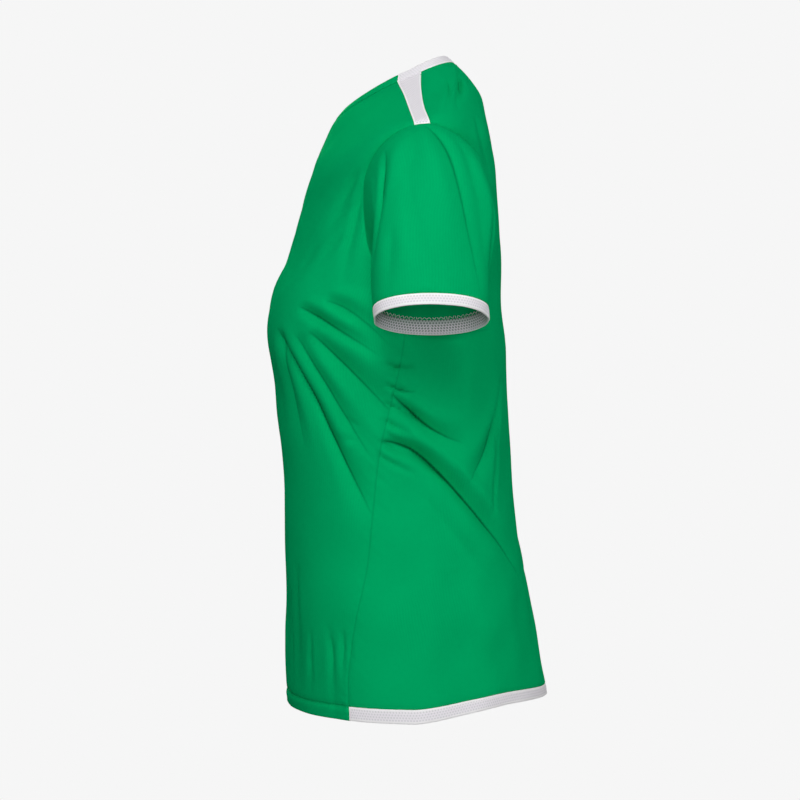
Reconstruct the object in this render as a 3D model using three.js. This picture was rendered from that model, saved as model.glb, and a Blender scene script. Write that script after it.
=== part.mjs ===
// A short-sleeved football jersey, filled out as if worn, with nobody in it.
// Millimetres. +X is the wearer's left, -Y is the front and +Z is up.
// The origin lies midway between the shoulders, at the height where they meet the neck.
//
// The body is one smooth tube of cloth, given by sections from the hem up to the neck.
// Above the underarm the sections rise faster at the sides than in front, and the last
// ones run in along the shoulder line, like contour lines around the neck opening.
// Each sleeve is a second tube, lofted from the armhole to its cuff. The cut pieces are
// regions of those two surfaces, each given its own wall and parted at the seams.
import * as THREE from "three";

// Driving sizes
const WALL = 1.5; // cloth
const SEAM_GAP = 0.3; // between neighbouring pieces
const BAND_WALL = 1.8; // the doubled neckbands
const HEM_BAND = 12; // height of the white back hem band and of the turned-up front hem
const HEM_TURN = 0.7; // how much thicker the turned-up front hem is, on its inside
const HEM_STEP = 1; // height over which that thickness ends
const NECKBAND = 12; // width of the neckband along the section levels
const CUFF_BAND = 11.5; // height of the cuff band outside
const CUFF_FACING = 17; // and inside the sleeve
const CUFF_LAYER = 1; // thickness of that inner layer

// Levels run up the side of the body, over the shoulder point and in to the neck
const HEM = -609;
const UNDERARM = -205;
const SHOULDER_POINT = -55;
const NECK_SEAM = 69;
const NECK_EDGE = NECK_SEAM + NECKBAND;

// Reads a table with named columns into one object for each row.
function table(columns, rows) {
  const names = columns.split(" ");
  return rows.map((row) => Object.fromEntries(names.map((name, i) => [name, row[i]])));
}

// Sections of the body: where each meets the side, the centre front and the centre back.
const SECTIONS = table("level sideX sideY sideZ frontY frontZ backY backZ", [
  [-609, 188, 1, -611, -126, -609, 133.5, -606],
  [-560, 186, 0, -560, -127, -560, 124.5, -560],
  [-500, 180.5, -2, -500, -127, -500, 112.5, -500],
  [-440, 173.5, -4, -440, -128, -440, 102, -440],
  [-390, 168.5, -5, -390, -130, -390, 96.5, -390],
  [-335, 167, -6, -335, -133.5, -335, 93, -335],
  [-285, 170, -6, -285, -138.5, -285, 91, -285],
  [-240, 173.5, -5, -240, -142, -240, 87.5, -240],
  [-205, 175, -4, -205, -138.5, -208, 85.5, -202],
  [-165, 176.5, -3, -165, -129.5, -181, 83.5, -152],
  [-120, 181, 0, -120, -119, -151, 80.5, -108],
  [-80, 187.5, 3, -80, -114, -130, 78, -76],
  [-55, 190.5, 6, -57, -111, -117, 76.5, -56],
  [-28, 168, 4, -44, -104.5, -95, 72, -30],
  [12, 131, 0, -26.5, -96.5, -73, 64, -7],
  [46, 100, -4, -11, -87, -50.5, 49.5, 11],
  [69, 80, -5, 0, -78.5, -34.5, 39.5, 23],
  [81, 72, -5, 7.5, -71.5, -26, 32.5, 29],
]);

// The curves of those sections: how square the front and back quarters are (2 is an
// ellipse), how late the front falls from the side's height to the centre's (1 is
// evenly), and how far the back lifts between the side and the centre.
const CURVES = table("level frontSquare backSquare frontFall backLift", [
  [-609, 2.15, 2.05, 1, 9],
  [-560, 2.2, 2.1, 1, 6],
  [-500, 2.35, 2.3, 1, 2],
  [-440, 2.4, 2.4, 1, 0],
  [-335, 2.5, 2.45, 1, 0],
  [-240, 2.6, 2.5, 1, 0],
  [-205, 2.45, 2.7, 1.2, 0],
  [-165, 2.25, 3, 1.4, 0],
  [-120, 2.05, 3.3, 1.5, 0],
  [-80, 1.9, 3, 1.5, 0],
  [-55, 1.85, 2.7, 1.5, 0],
  [-28, 1.9, 2.4, 1.5, 0],
  [12, 2, 2.3, 1.4, 0],
  [46, 2.05, 2.2, 1.2, 0],
  [81, 2.05, 2, 1.1, 0],
]);

// Where the side seam runs: its depth at each level. It comes forward towards the hem.
const SIDE_SEAM = table("level y", [
  [-609, -61],
  [-560, -61],
  [-528, -57],
  [-496, -50],
  [-464, -44],
  [-400, -37.5],
  [-357, -32],
  [-306, -20],
  [-263, -11],
  [-205, -6],
]);

// The mesh insert along the shoulder: depth of its front and back edges at each level.
const INSERT_EDGES = table("level front back", [
  [-55, -1, 14],
  [-28, -4, 10],
  [12, -8.5, 7],
  [46, -13, 6],
  [69, -16.5, 6.5],
]);

// The armhole: depth of its front and back edges, at even shares of a half turn from the
// underarm to the shoulder point.
const ARMHOLE = table("share front back", [
  [0, -6, -6],
  [0.125, -23, 19],
  [0.25, -37, 40],
  [0.375, -44.5, 54.5],
  [0.5, -47.5, 61.5],
  [0.625, -47.5, 62.5],
  [0.75, -39.5, 52],
  [0.875, -23, 29],
  [1, -1, 14],
]);

// Sections of a sleeve below the armhole: the outer and inner points, the depths of the
// front and back folds, and where the section comes along the sleeve (1 is the cuff seam).
const SLEEVE_SECTIONS = table("along outX outZ inX inZ frontY backY", [
  [0.13, 207, -65, 187, -205, -43, 69],
  [0.36, 232, -98, 193, -213, -38, 73],
  [0.66, 254, -151, 190.5, -226, -39.5, 68],
  [1, 269.5, -215, 185, -240, -38.5, 66],
]);
const CUFF_EDGE = { outX: 272, outZ: -226.3, inX: 183.5, inZ: -251.3, frontY: -37.5, backY: 65.8 };
const SLEEVE_SQUARE = 2.15; // how square its sections are: 2 is an ellipse

// Fullness over the bust, from the cut: two low rounds either side of the centre.
const BUST = { girth: 34, level: -236, spreadGirth: 17, spreadLevel: 46, rise: 6 };

// The largest folds. Each is a trough along a bent line from (girth1, level1), bending
// towards (girth2, level2), to (girth3, level3). Girth is in degrees round the body: 0 is
// the centre front, 90 the wearer's left, 180 the centre back, and minus is on the right.
// Width is half the trough's. Lean moves the low ridges beside it: 1 puts all of the
// height on the upper side of a fold that runs backwards, and -1 on its lower side.
const FOLDS = table("girth1 level1 girth2 level2 girth3 level3 depth width lean", [
  // from the bust to the side, left
  [47, -222, 61, -244, 83, -284, 3.5, 8, 0.5],
  [57, -222, 71, -228, 84, -268, 2.4, 9, 0.3],
  [37, -242, 50, -312, 75, -432, 5.9, 11, 0.3],
  [41, -250, 59, -298, 74, -362, 3, 11, 0],
  [51, -252, 64, -276, 88, -340, 4.3, 15, 0],
  [38, -246, 34, -300, 44, -360, 2.2, 9, -0.5],
  // behind the side seam, left
  [82, -308, 100, -352, 121, -350, 4.1, 9, 0.4],
  [79, -340, 106, -368, 156, -498, 7.6, 12, 0.7],
  [119, -394, 132, -355, 152, -276, 3.5, 11, 0.3],
  [84, -288, 103, -290, 124, -308, 3.8, 20, 0],
  // upper back and chest, left
  [136, -40, 136, -80, 143, -118, 2.4, 9, 0],
  [140, 40, 130, 12, 126, -26, 1.9, 9, 0],
  [46, -150, 42, -180, 33, -208, 1.6, 12, 0],
  // flutes in the lower front and at the hem, left
  [33, -468, 33, -525, 30, -600, 2.2, 8, 0.2],
  [52, -520, 55, -560, 54, -640, 1.9, 8, 0],
  [18, -420, 15, -520, 14, -680, 1.6, 14, 0],
  [108, -470, 112, -560, 110, -700, 2, 20, 0],
  [146, -500, 150, -580, 148, -700, 2.4, 16, 0],
  // the same kinds on the right, each a little different
  [-49, -226, -63, -250, -82, -290, 3.2, 8, -0.5],
  [-60, -224, -72, -234, -85, -262, 2, 9, -0.3],
  [-36, -246, -47, -322, -70, -418, 5.1, 11, -0.3],
  [-44, -252, -60, -290, -77, -350, 3.4, 12, 0],
  [-53, -262, -68, -300, -90, -362, 3.8, 15, 0],
  [-84, -312, -104, -346, -126, -362, 3.5, 9, -0.4],
  [-80, -350, -110, -386, -158, -478, 6.5, 12, -0.7],
  [-122, -402, -130, -362, -149, -296, 3, 11, -0.3],
  [-86, -284, -104, -294, -120, -300, 3.2, 19, 0],
  [-136, -46, -138, -84, -146, -124, 2.2, 9, 0],
  [-44, -152, -42, -186, -36, -210, 1.5, 12, 0],
  [-30, -480, -32, -540, -34, -610, 2, 9, -0.2],
  [-56, -510, -52, -560, -52, -650, 2, 9, 0],
  [-16, -440, -18, -540, -20, -680, 1.5, 14, 0],
  [-112, -480, -108, -570, -112, -700, 2.2, 20, 0],
  [-150, -510, -146, -580, -150, -700, 2.2, 16, 0],
  // the middle of the front and of the back
  [3, -262, -3, -330, 4, -420, 2.2, 18, 0],
  [176, -150, 184, -240, 178, -350, 2.4, 20, 0],
  [180, -480, 183, -560, 179, -700, 1.9, 16, 0],
]);

// Folds of a sleeve in the same way. Turn is in degrees round it: 0 on the outside and
// plus at the front. Along is the share of the way from the armhole to the cuff.
const SLEEVE_FOLDS = table("turn1 along1 turn2 along2 turn3 along3 depth width lean", [
  [-2, 0.05, -26, 0.3, -60, 0.97, 3.6, 9, 0.4],
  [38, 0.08, 50, 0.5, 84, 0.98, 2, 8, -0.4],
  [-44, 0.1, -50, 0.3, -80, 0.75, 2, 11, 0],
  [128, 0.2, 140, 0.5, 150, 0.98, 1.4, 7, 0],
  [-140, 0.2, -146, 0.5, -152, 0.98, 1.4, 7, 0],
]);
const GIRTH_RADIUS = 150; // turns girth into mm of cloth round the body
const SLEEVE_RADIUS = 50; // and round a sleeve
const SLEEVE_LENGTH = 180; // turns along into mm of sleeve
const RIDGE_HEIGHT = 0.32; // of the ridges beside a trough, as a share of its depth
const RIDGE_AWAY = 1.7; // from the trough's line, in trough widths
const WIDTH_AT_START = 0.7; // of a fold, as a share of its width
const WIDTH_GAIN = 0.6; // from its start to its end
const DEEPEST = 0.7; // power that brings the deepest place nearer the start than the end
const FOLD_STEPS = 30; // places tried along a fold for the nearest one
const REACH = 4; // a fold ends this many widths away

// Steps for measuring which way the cloth faces
const GIRTH_STEP = 0.01; // radians
const LEVEL_STEP = 1; // mm

const rad = (degrees) => (degrees * Math.PI) / 180;
const mix = (a, b, share) => a + (b - a) * share;
const range = (count) => Array.from({ length: count }, (_, i) => i);

// A natural cubic spline through the points.
function spline(at, values) {
  const last = at.length - 1;
  const bend = new Array(last + 1).fill(0);
  const carry = new Array(last + 1).fill(0);
  for (let i = 1; i < last; i++) {
    const share = (at[i] - at[i - 1]) / (at[i + 1] - at[i - 1]);
    const pivot = share * bend[i - 1] + 2;
    const slopeAfter = (values[i + 1] - values[i]) / (at[i + 1] - at[i]);
    const slopeBefore = (values[i] - values[i - 1]) / (at[i] - at[i - 1]);
    const turn = (6 * (slopeAfter - slopeBefore)) / (at[i + 1] - at[i - 1]);
    bend[i] = (share - 1) / pivot;
    carry[i] = (turn - share * carry[i - 1]) / pivot;
  }
  for (let i = last - 1; i > 0; i--) bend[i] = bend[i] * bend[i + 1] + carry[i];
  return (x) => {
    let i = 0;
    while (i < last - 1 && x > at[i + 1]) i++;
    const width = at[i + 1] - at[i];
    const a = (at[i + 1] - x) / width;
    const b = (x - at[i]) / width;
    const curve = ((a ** 3 - a) * bend[i] + (b ** 3 - b) * bend[i + 1]) * (width ** 2 / 6);
    return a * values[i] + b * values[i + 1] + curve;
  };
}

// A spline for each column of a table, over its first column.
function splines(rows, key) {
  const at = rows.map((row) => row[key]);
  const curves = {};
  for (const name of Object.keys(rows[0])) {
    const values = rows.map((row) => row[name]);
    if (name !== key) curves[name] = spline(at, values);
  }
  return curves;
}

const section = splines(SECTIONS, "level");
const curve = splines(CURVES, "level");
const armhole = splines(ARMHOLE, "share");
const sideSeam = splines(SIDE_SEAM, "level");
const insertEdge = splines(INSERT_EDGES, "level");

// Folds as lines on the flat cloth: three corners, in mm round and along it.
const foldLine = (fold, corners) => ({
  corners: corners.map(([x, y]) => new THREE.Vector2(x, y)),
  depth: fold.depth,
  width: fold.width,
  lean: fold.lean,
});
const BODY_FOLDS = FOLDS.map((fold) =>
  foldLine(fold, [
    [rad(fold.girth1) * GIRTH_RADIUS, fold.level1],
    [rad(fold.girth2) * GIRTH_RADIUS, fold.level2],
    [rad(fold.girth3) * GIRTH_RADIUS, fold.level3],
  ]),
);
const ARM_FOLDS = SLEEVE_FOLDS.map((fold) =>
  foldLine(fold, [
    [rad(fold.turn1) * SLEEVE_RADIUS, fold.along1 * SLEEVE_LENGTH],
    [rad(fold.turn2) * SLEEVE_RADIUS, fold.along2 * SLEEVE_LENGTH],
    [rad(fold.turn3) * SLEEVE_RADIUS, fold.along3 * SLEEVE_LENGTH],
  ]),
);

// A place on a bent line through three corners: t is 0 at its start and 1 at its end.
function onLine([a, b, c], t) {
  return new THREE.Vector2(
    (1 - t) ** 2 * a.x + 2 * t * (1 - t) * b.x + t ** 2 * c.x,
    (1 - t) ** 2 * a.y + 2 * t * (1 - t) * b.y + t ** 2 * c.y,
  );
}

// How much one fold moves the cloth outwards at a place on it. The trough is deepest
// before its middle and widens to its end.
function foldRise({ corners, depth, width, lean }, place) {
  const [a, b, c] = corners;
  let nearest = Infinity;
  let along = 0;
  for (let i = 0; i <= FOLD_STEPS; i++) {
    const away = onLine(corners, i / FOLD_STEPS).distanceTo(place);
    if (away < nearest) {
      nearest = away;
      along = i / FOLD_STEPS;
    }
  }
  const wide = width * (WIDTH_AT_START + WIDTH_GAIN * along);
  if (nearest > REACH * wide) return 0;
  const run = b.clone().sub(a).lerp(c.clone().sub(b), along).normalize();
  const across = run.cross(place.clone().sub(onLine(corners, along))) / wide;
  const trough = Math.exp(-(across ** 2));
  const upper = (1 + lean) * Math.exp(-((across - RIDGE_AWAY) ** 2));
  const lower = (1 - lean) * Math.exp(-((across + RIDGE_AWAY) ** 2));
  const fade = Math.max(0, Math.sin(Math.PI * along ** DEEPEST));
  const beyond = Math.max(0, (nearest / wide) ** 2 - across ** 2);
  return depth * fade * Math.exp(-beyond) * (RIDGE_HEIGHT * (upper + lower) - trough);
}

function foldsRise(folds, x, y) {
  const place = new THREE.Vector2(x, y);
  return folds.reduce((sum, fold) => sum + foldRise(fold, place), 0);
}

// The body before folds: girth in radians, level in mm.
function smoothBody(girth, level) {
  const s = Math.sin(girth);
  const c = Math.cos(girth);
  const isFront = c > 0;
  const square = isFront ? curve.frontSquare(level) : curve.backSquare(level);
  const reach = (Math.abs(c) ** square + Math.abs(s) ** square) ** (-1 / square);
  const share = reach * Math.abs(c);
  const endY = isFront ? section.frontY(level) : section.backY(level);
  const endZ = isFront ? section.frontZ(level) : section.backZ(level);
  const fall = isFront ? share ** curve.frontFall(level) : share;
  const lift = isFront ? 0 : curve.backLift(level) * Math.sin(Math.PI * share ** 1.5);
  return new THREE.Vector3(
    section.sideX(level) * reach * s,
    mix(section.sideY(level), endY, share),
    mix(section.sideZ(level), endZ, fall) + lift,
  );
}

// Outward direction of a surface given by girth and level.
function normalOf(surface, girth, level) {
  const round = surface(girth + GIRTH_STEP, level).sub(surface(girth - GIRTH_STEP, level));
  const up = surface(girth, level + LEVEL_STEP).sub(surface(girth, level - LEVEL_STEP));
  return round.cross(up).normalize();
}

function body(girth, level) {
  const place = smoothBody(girth, level);
  const outward = normalOf(smoothBody, girth, level);
  const fromBust = ((Math.abs(girth) - rad(BUST.girth)) / rad(BUST.spreadGirth)) ** 2;
  const fromLevel = ((level - BUST.level) / BUST.spreadLevel) ** 2;
  const bust = BUST.rise * Math.exp(-fromBust - fromLevel);
  const x = girth * GIRTH_RADIUS;
  const sameX = x - Math.sign(x) * 2 * Math.PI * GIRTH_RADIUS; // met the other way round
  const folds = foldsRise(BODY_FOLDS, x, level) + foldsRise(BODY_FOLDS, sameX, level);
  return place.addScaledVector(outward, bust + folds);
}

// The girth at which the section at a level has depth y, on the wearer's left.
function girthAt(y, level) {
  const sideY = section.sideY(level);
  const isFront = y < sideY;
  const square = isFront ? curve.frontSquare(level) : curve.backSquare(level);
  const endY = isFront ? section.frontY(level) : section.backY(level);
  const share = Math.max(1e-6, (y - sideY) / (endY - sideY));
  const angle = Math.atan(((1 - share ** square) / share ** square) ** (1 / square));
  return isFront ? angle : Math.PI - angle;
}

// How many cells each stretch of an edge has
const SIDE_CELLS = 26;
const ARMHOLE_CELLS = 13;
const INSERT_CELLS = 5;
const INSERT_ACROSS = 3;
const PANEL_ACROSS = 28;
const SLEEVE_CELLS = 10;
const NECKBAND_CELLS = 2;

// The left-hand edge of the front or back panel, from the hem up to the neck seam.
// Each place has the level of the edge and of the centre line, and the girth of the edge.
function panelEdge(isFront) {
  const edge = [];
  const add = (level, y, middle = level) => edge.push({ level, middle, girth: girthAt(y, level) });
  for (const level of [HEM, HEM + HEM_BAND]) add(level, sideSeam.y(level));
  for (const i of range(SIDE_CELLS + 1)) {
    const level = mix(HEM + HEM_BAND + HEM_STEP, UNDERARM, i / SIDE_CELLS);
    add(level, sideSeam.y(level));
  }
  const side = isFront ? "front" : "back";
  for (const i of range(ARMHOLE_CELLS)) {
    const share = (i + 1) / ARMHOLE_CELLS;
    const level = mix(UNDERARM, SHOULDER_POINT, (1 - Math.cos(Math.PI * share)) / 2);
    add(level, armhole[side](share), mix(UNDERARM, SHOULDER_POINT, share));
  }
  for (const i of range(INSERT_CELLS)) {
    const level = mix(SHOULDER_POINT, NECK_SEAM, (i + 1) / INSERT_CELLS);
    add(level, insertEdge[side](level));
  }
  return edge;
}

// A point of cloth: its place on the middle of the wall, and the way to its outer face.
function clothPoint(girth, level) {
  return { place: body(girth, level), outward: normalOf(body, girth, level) };
}

// The whole front or back as rows of cloth points, from the wearer's right to the left.
function panelGrid(edge, isFront) {
  const centre = isFront ? 0 : Math.PI;
  return edge.map(({ level, middle, girth }) =>
    range(PANEL_ACROSS + 1).map((i) => {
      const across = (2 * i) / PANEL_ACROSS - 1;
      const share = Math.abs(across);
      const turn = centre + (girth - centre) * share;
      const side = across < 0 ? -1 : 1;
      return clothPoint(side * turn, mix(middle, level, share ** 2));
    }),
  );
}

const copyPoint = ({ place, outward }) => ({ place: place.clone(), outward: outward.clone() });
const copyGrid = (grid) => grid.map((row) => row.map(copyPoint));

const frontEdge = panelEdge(true);
const backEdge = panelEdge(false);
const frontGrid = panelGrid(frontEdge, true);
const backGrid = panelGrid(backEdge, false);
const UNDERARM_ROW = SIDE_CELLS + 2;
const SHOULDER_ROW = UNDERARM_ROW + ARMHOLE_CELLS;

// The insert from the shoulder point to the neck seam, on the side given by its sign.
function insertGrid(side) {
  return range(INSERT_CELLS + 1).map((i) => {
    const front = frontEdge[SHOULDER_ROW + i];
    const back = backEdge[SHOULDER_ROW + i];
    return range(INSERT_ACROSS + 1).map((j) =>
      clothPoint(side * mix(front.girth, back.girth, j / INSERT_ACROSS), front.level),
    );
  });
}

// A neckband through the given girths, from the neck seam to the neck edge.
function neckbandGrid(girths) {
  return range(NECKBAND_CELLS + 1).map((i) => {
    const level = mix(NECK_SEAM, NECK_EDGE, i / NECKBAND_CELLS);
    return girths.map((girth) => clothPoint(girth, level));
  });
}

// Even steps of girth, with both ends.
const girthRun = (from, to, cells) => range(cells + 1).map((i) => mix(from, to, i / cells));

const inserts = { left: insertGrid(1), right: insertGrid(-1) };
const endOf = { left: PANEL_ACROSS, right: 0 };

// The armhole of one side as a ring of places: up the front, across the insert, down the back.
function armholeRing(side) {
  const column = endOf[side];
  const up = frontGrid.slice(UNDERARM_ROW, SHOULDER_ROW + 1).map((row) => row[column]);
  const over = inserts[side][0].slice(1, -1);
  const down = backGrid.slice(UNDERARM_ROW + 1, SHOULDER_ROW + 1).map((row) => row[column]);
  return [...up, ...over, ...down.reverse()];
}

const SLEEVE_RING = 2 * ARMHOLE_CELLS + INSERT_ACROSS;

// How far round the sleeve a place on the ring is: 0 on the outside, plus in front.
const INSERT_TURN = 0.13; // of the insert's front edge at the shoulder point
function ringTurn(i) {
  if (i <= ARMHOLE_CELLS) return mix(Math.PI, INSERT_TURN, i / ARMHOLE_CELLS);
  const over = i - ARMHOLE_CELLS;
  if (over <= INSERT_ACROSS) return mix(INSERT_TURN, -INSERT_TURN, over / INSERT_ACROSS);
  return mix(-INSERT_TURN, -Math.PI, (over - INSERT_ACROSS) / ARMHOLE_CELLS);
}

// One place on a sleeve section.
function sleevePlace(row, turn, side) {
  const c = Math.cos(turn);
  const s = Math.sin(turn);
  const reach = (Math.abs(c) ** SLEEVE_SQUARE + Math.abs(s) ** SLEEVE_SQUARE) ** (-1 / SLEEVE_SQUARE);
  const out = (1 + reach * c) / 2;
  const middle = (row.frontY + row.backY) / 2;
  const half = (row.backY - row.frontY) / 2;
  return new THREE.Vector3(
    side * mix(row.inX, row.outX, out),
    middle - half * reach * s,
    mix(row.inZ, row.outZ, out),
  );
}

// A sleeve from the armhole to the cuff seam and on to the cuff's edge: rings of places,
// each a smooth run of the same place on every section. The last cell above the seam is as
// long as the cuff's facing inside it.
function sleeveRings(side) {
  const sign = side === "left" ? 1 : -1;
  const along = [0, ...SLEEVE_SECTIONS.map((row) => row.along)];
  const runs = armholeRing(side).map((point, i) => {
    const places = [point.place, ...SLEEVE_SECTIONS.map((row) => sleevePlace(row, ringTurn(i), sign))];
    const [x, y, z] = ["x", "y", "z"].map((axis) => spline(along, places.map((place) => place[axis])));
    return (t) => new THREE.Vector3(x(t), y(t), z(t));
  });
  const facing = CUFF_FACING - CUFF_BAND;
  const nearEnd = 0.02;
  const lastCell = runs.map((run) => (nearEnd * facing) / run(1).distanceTo(run(1 - nearEnd)));
  const rings = range(SLEEVE_CELLS).map((k) =>
    runs.map((run, i) => run(((1 - lastCell[i]) * k) / (SLEEVE_CELLS - 1))),
  );
  const edge = runs.map((_, i) => sleevePlace(CUFF_EDGE, ringTurn(i), sign));
  return [...rings, runs.map((run) => run(1)), edge];
}

// Gives rings of places their outward directions. Steps run round each ring and along.
function ringsToGrid(rings, sign) {
  const count = rings[0].length;
  return rings.map((ring, k) =>
    ring.map((place, i) => {
      const round = ring[(i + 1) % count].clone().sub(ring[(i + count - 1) % count]);
      const next = rings[Math.min(k + 1, rings.length - 1)][i];
      const before = rings[Math.max(k - 1, 0)][i];
      const outward = next.clone().sub(before).cross(round).multiplyScalar(sign).normalize();
      return { place: place.clone(), outward };
    }),
  );
}

// Adds the sleeve's folds to its rings, fading to nothing at the armhole and the cuff.
function foldSleeve(rings, sign) {
  const grid = ringsToGrid(rings, sign);
  const last = rings.length - 2;
  const moved = grid.map((ring, k) =>
    ring.map(({ place, outward }, i) => {
      const along = Math.min(1, k / last);
      const fade = Math.sqrt(Math.abs(Math.sin(Math.PI * along)));
      const rise = foldsRise(ARM_FOLDS, ringTurn(i) * SLEEVE_RADIUS, along * SLEEVE_LENGTH);
      return place.addScaledVector(outward, fade * rise);
    }),
  );
  return ringsToGrid(moved, sign);
}

// Where cloth meets at an angle, both pieces end on the same bisecting face.
const MOST_STRETCH = 1.6; // of the wall along a sharp bisector
function mitre(points) {
  const sum = new THREE.Vector3();
  for (const point of points) sum.add(point.outward);
  sum.normalize();
  const fold = Math.max(1 / MOST_STRETCH, sum.dot(points[0].outward.clone().normalize()));
  for (const point of points) point.outward.copy(sum).divideScalar(fold);
}

// Moves an edge of a grid into the cloth by half the gap at a seam.
function drawIn(grid, edges, isRing = false) {
  const rows = grid.length;
  const columns = grid[0].length;
  const moves = [];
  const shift = (i, j, inwardI, inwardJ, nextI, nextJ, lastI, lastJ) => {
    const here = grid[i][j].place;
    const along = grid[nextI][nextJ].place.clone().sub(grid[lastI][lastJ].place).normalize();
    const inward = grid[inwardI][inwardJ].place.clone().sub(here);
    inward.addScaledVector(along, -inward.dot(along)).normalize();
    moves.push([here, inward.multiplyScalar((SEAM_GAP / 2) * grid[i][j].outward.length())]);
  };
  const clamp = (value, last) => Math.min(last, Math.max(0, value));
  for (const edge of edges) {
    if (edge === "bottom" || edge === "top") {
      const i = edge === "bottom" ? 0 : rows - 1;
      const inner = edge === "bottom" ? 1 : rows - 2;
      for (const j of range(columns)) {
        const next = isRing ? (j + 1) % columns : clamp(j + 1, columns - 1);
        const last = isRing ? (j + columns - 1) % columns : clamp(j - 1, columns - 1);
        shift(i, j, inner, j, i, next, i, last);
      }
    } else {
      const j = edge === "first" ? 0 : columns - 1;
      const inner = edge === "first" ? 1 : columns - 2;
      for (const i of range(rows)) {
        const next = clamp(i + 1, rows - 1);
        const last = clamp(i - 1, rows - 1);
        shift(i, j, i, inner, next, j, last, j);
      }
    }
  }
  for (const [place, move] of moves) place.add(move);
  return grid;
}

// A closed wall around a grid of cloth points. Thickness may change from row to row:
// outerHalf and innerHalf give it on each side of the middle.
function wall(grid, isRing, outerHalf, innerHalf) {
  const rows = grid.length;
  const columns = grid[0].length;
  const positions = [];
  const indices = [];
  for (const [thickness, sign] of [[outerHalf, 1], [innerHalf, -1]]) {
    grid.forEach((row, i) => {
      for (const { place, outward } of row) {
        positions.push(...place.clone().addScaledVector(outward, sign * thickness(i)).toArray());
      }
    });
  }
  const at = (layer, i, j) => layer * rows * columns + i * columns + (j % columns);
  const quad = (a, b, c, d) => indices.push(...quadFaces(positions, a, b, c, d));
  const lastColumn = isRing ? columns : columns - 1;
  for (let i = 0; i < rows - 1; i++) {
    for (let j = 0; j < lastColumn; j++) {
      quad(at(0, i, j), at(0, i, j + 1), at(0, i + 1, j + 1), at(0, i + 1, j));
      quad(at(1, i, j), at(1, i + 1, j), at(1, i + 1, j + 1), at(1, i, j + 1));
    }
  }
  for (let j = 0; j < lastColumn; j++) {
    quad(at(0, 0, j), at(1, 0, j), at(1, 0, j + 1), at(0, 0, j + 1));
    quad(at(0, rows - 1, j), at(0, rows - 1, j + 1), at(1, rows - 1, j + 1), at(1, rows - 1, j));
  }
  if (!isRing) {
    for (let i = 0; i < rows - 1; i++) {
      quad(at(0, i, 0), at(0, i + 1, 0), at(1, i + 1, 0), at(1, i, 0));
      const j = columns - 1;
      quad(at(0, i, j), at(1, i, j), at(1, i + 1, j), at(0, i + 1, j));
    }
  }
  return closedGeometry(positions, indices);
}

// Two triangles across a quad, parted along its shorter diagonal.
function quadFaces(positions, a, b, c, d) {
  const corner = (i) => new THREE.Vector3().fromArray(positions, 3 * i);
  const isShorter = corner(a).distanceTo(corner(c)) < corner(b).distanceTo(corner(d));
  return isShorter ? [a, b, c, a, c, d] : [a, b, d, b, c, d];
}

// Turns the faces round if they point inwards.
function closedGeometry(positions, indices) {
  let volume = 0;
  const corner = (i) => new THREE.Vector3().fromArray(positions, 3 * i);
  for (let i = 0; i < indices.length; i += 3) {
    volume += corner(indices[i]).dot(corner(indices[i + 1]).cross(corner(indices[i + 2])));
  }
  if (volume < 0) indices.reverse();
  const geometry = new THREE.BufferGeometry();
  geometry.setAttribute("position", new THREE.Float32BufferAttribute(positions, 3));
  geometry.setIndex(indices);
  geometry.computeVertexNormals();
  return geometry;
}

const greenKnit = new THREE.MeshStandardMaterial({ color: 0x02a364, roughness: 0.62 });
const whiteMesh = new THREE.MeshStandardMaterial({ color: 0xece9ee, roughness: 0.8 });

// A cuff band: a ring with an L-shaped section. Its outer leg carries on the sleeve's wall
// and its inner leg lies inside the sleeve, one seam gap away.
function cuff(side) {
  const [facing, seam, hem] = sleeves[side].slice(-3);
  const inside = WALL / 2 + SEAM_GAP;
  const profile = [
    [hem, 0, WALL / 2],
    [seam, -SEAM_GAP / 2, WALL / 2],
    [seam, -SEAM_GAP / 2, -inside],
    [facing, 0, -inside],
    [facing, 0, -inside - CUFF_LAYER],
    [hem, 0, -inside - CUFF_LAYER],
  ];
  const loops = profile.map(([ring, back, out]) =>
    ring.map(({ place, outward }, i) => {
      const toHem = hem[i].place.clone().sub(seam[i].place).normalize();
      return place.clone().addScaledVector(outward, out).addScaledVector(toHem, -back);
    }),
  );
  const positions = loops.flat().flatMap((place) => place.toArray());
  const indices = [];
  const at = (k, i) => (k % profile.length) * SLEEVE_RING + (i % SLEEVE_RING);
  for (const k of range(profile.length)) {
    for (const i of range(SLEEVE_RING)) {
      indices.push(...quadFaces(positions, at(k, i), at(k, i + 1), at(k + 1, i + 1), at(k + 1, i)));
    }
  }
  return closedGeometry(positions, indices);
}

const jersey = new THREE.Group();
function add(name, geometry, material) {
  const mesh = new THREE.Mesh(geometry, material);
  mesh.name = name;
  jersey.add(mesh);
}
const even = (thickness) => () => thickness;

// Sleeves first, because each shares its armhole with the panels around it
const sleeves = {};
for (const side of ["left", "right"]) {
  const sign = side === "left" ? 1 : -1;
  sleeves[side] = foldSleeve(sleeveRings(side), sign);
  const column = endOf[side];
  const ring = sleeves[side][0];
  const meets = ring.map((point) => [point]);
  for (const i of range(ARMHOLE_CELLS + 1)) {
    meets[i].push(frontGrid[UNDERARM_ROW + i][column]);
    meets[(SLEEVE_RING - i) % SLEEVE_RING].push(backGrid[UNDERARM_ROW + i][column]);
  }
  for (const j of range(INSERT_ACROSS + 1)) meets[ARMHOLE_CELLS + j].push(inserts[side][0][j]);
  for (const [sleevePoint, bodyPoint, ...others] of meets) {
    mitre([sleevePoint, bodyPoint]);
    for (const point of others) point.outward.copy(sleevePoint.outward);
  }
}

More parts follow.
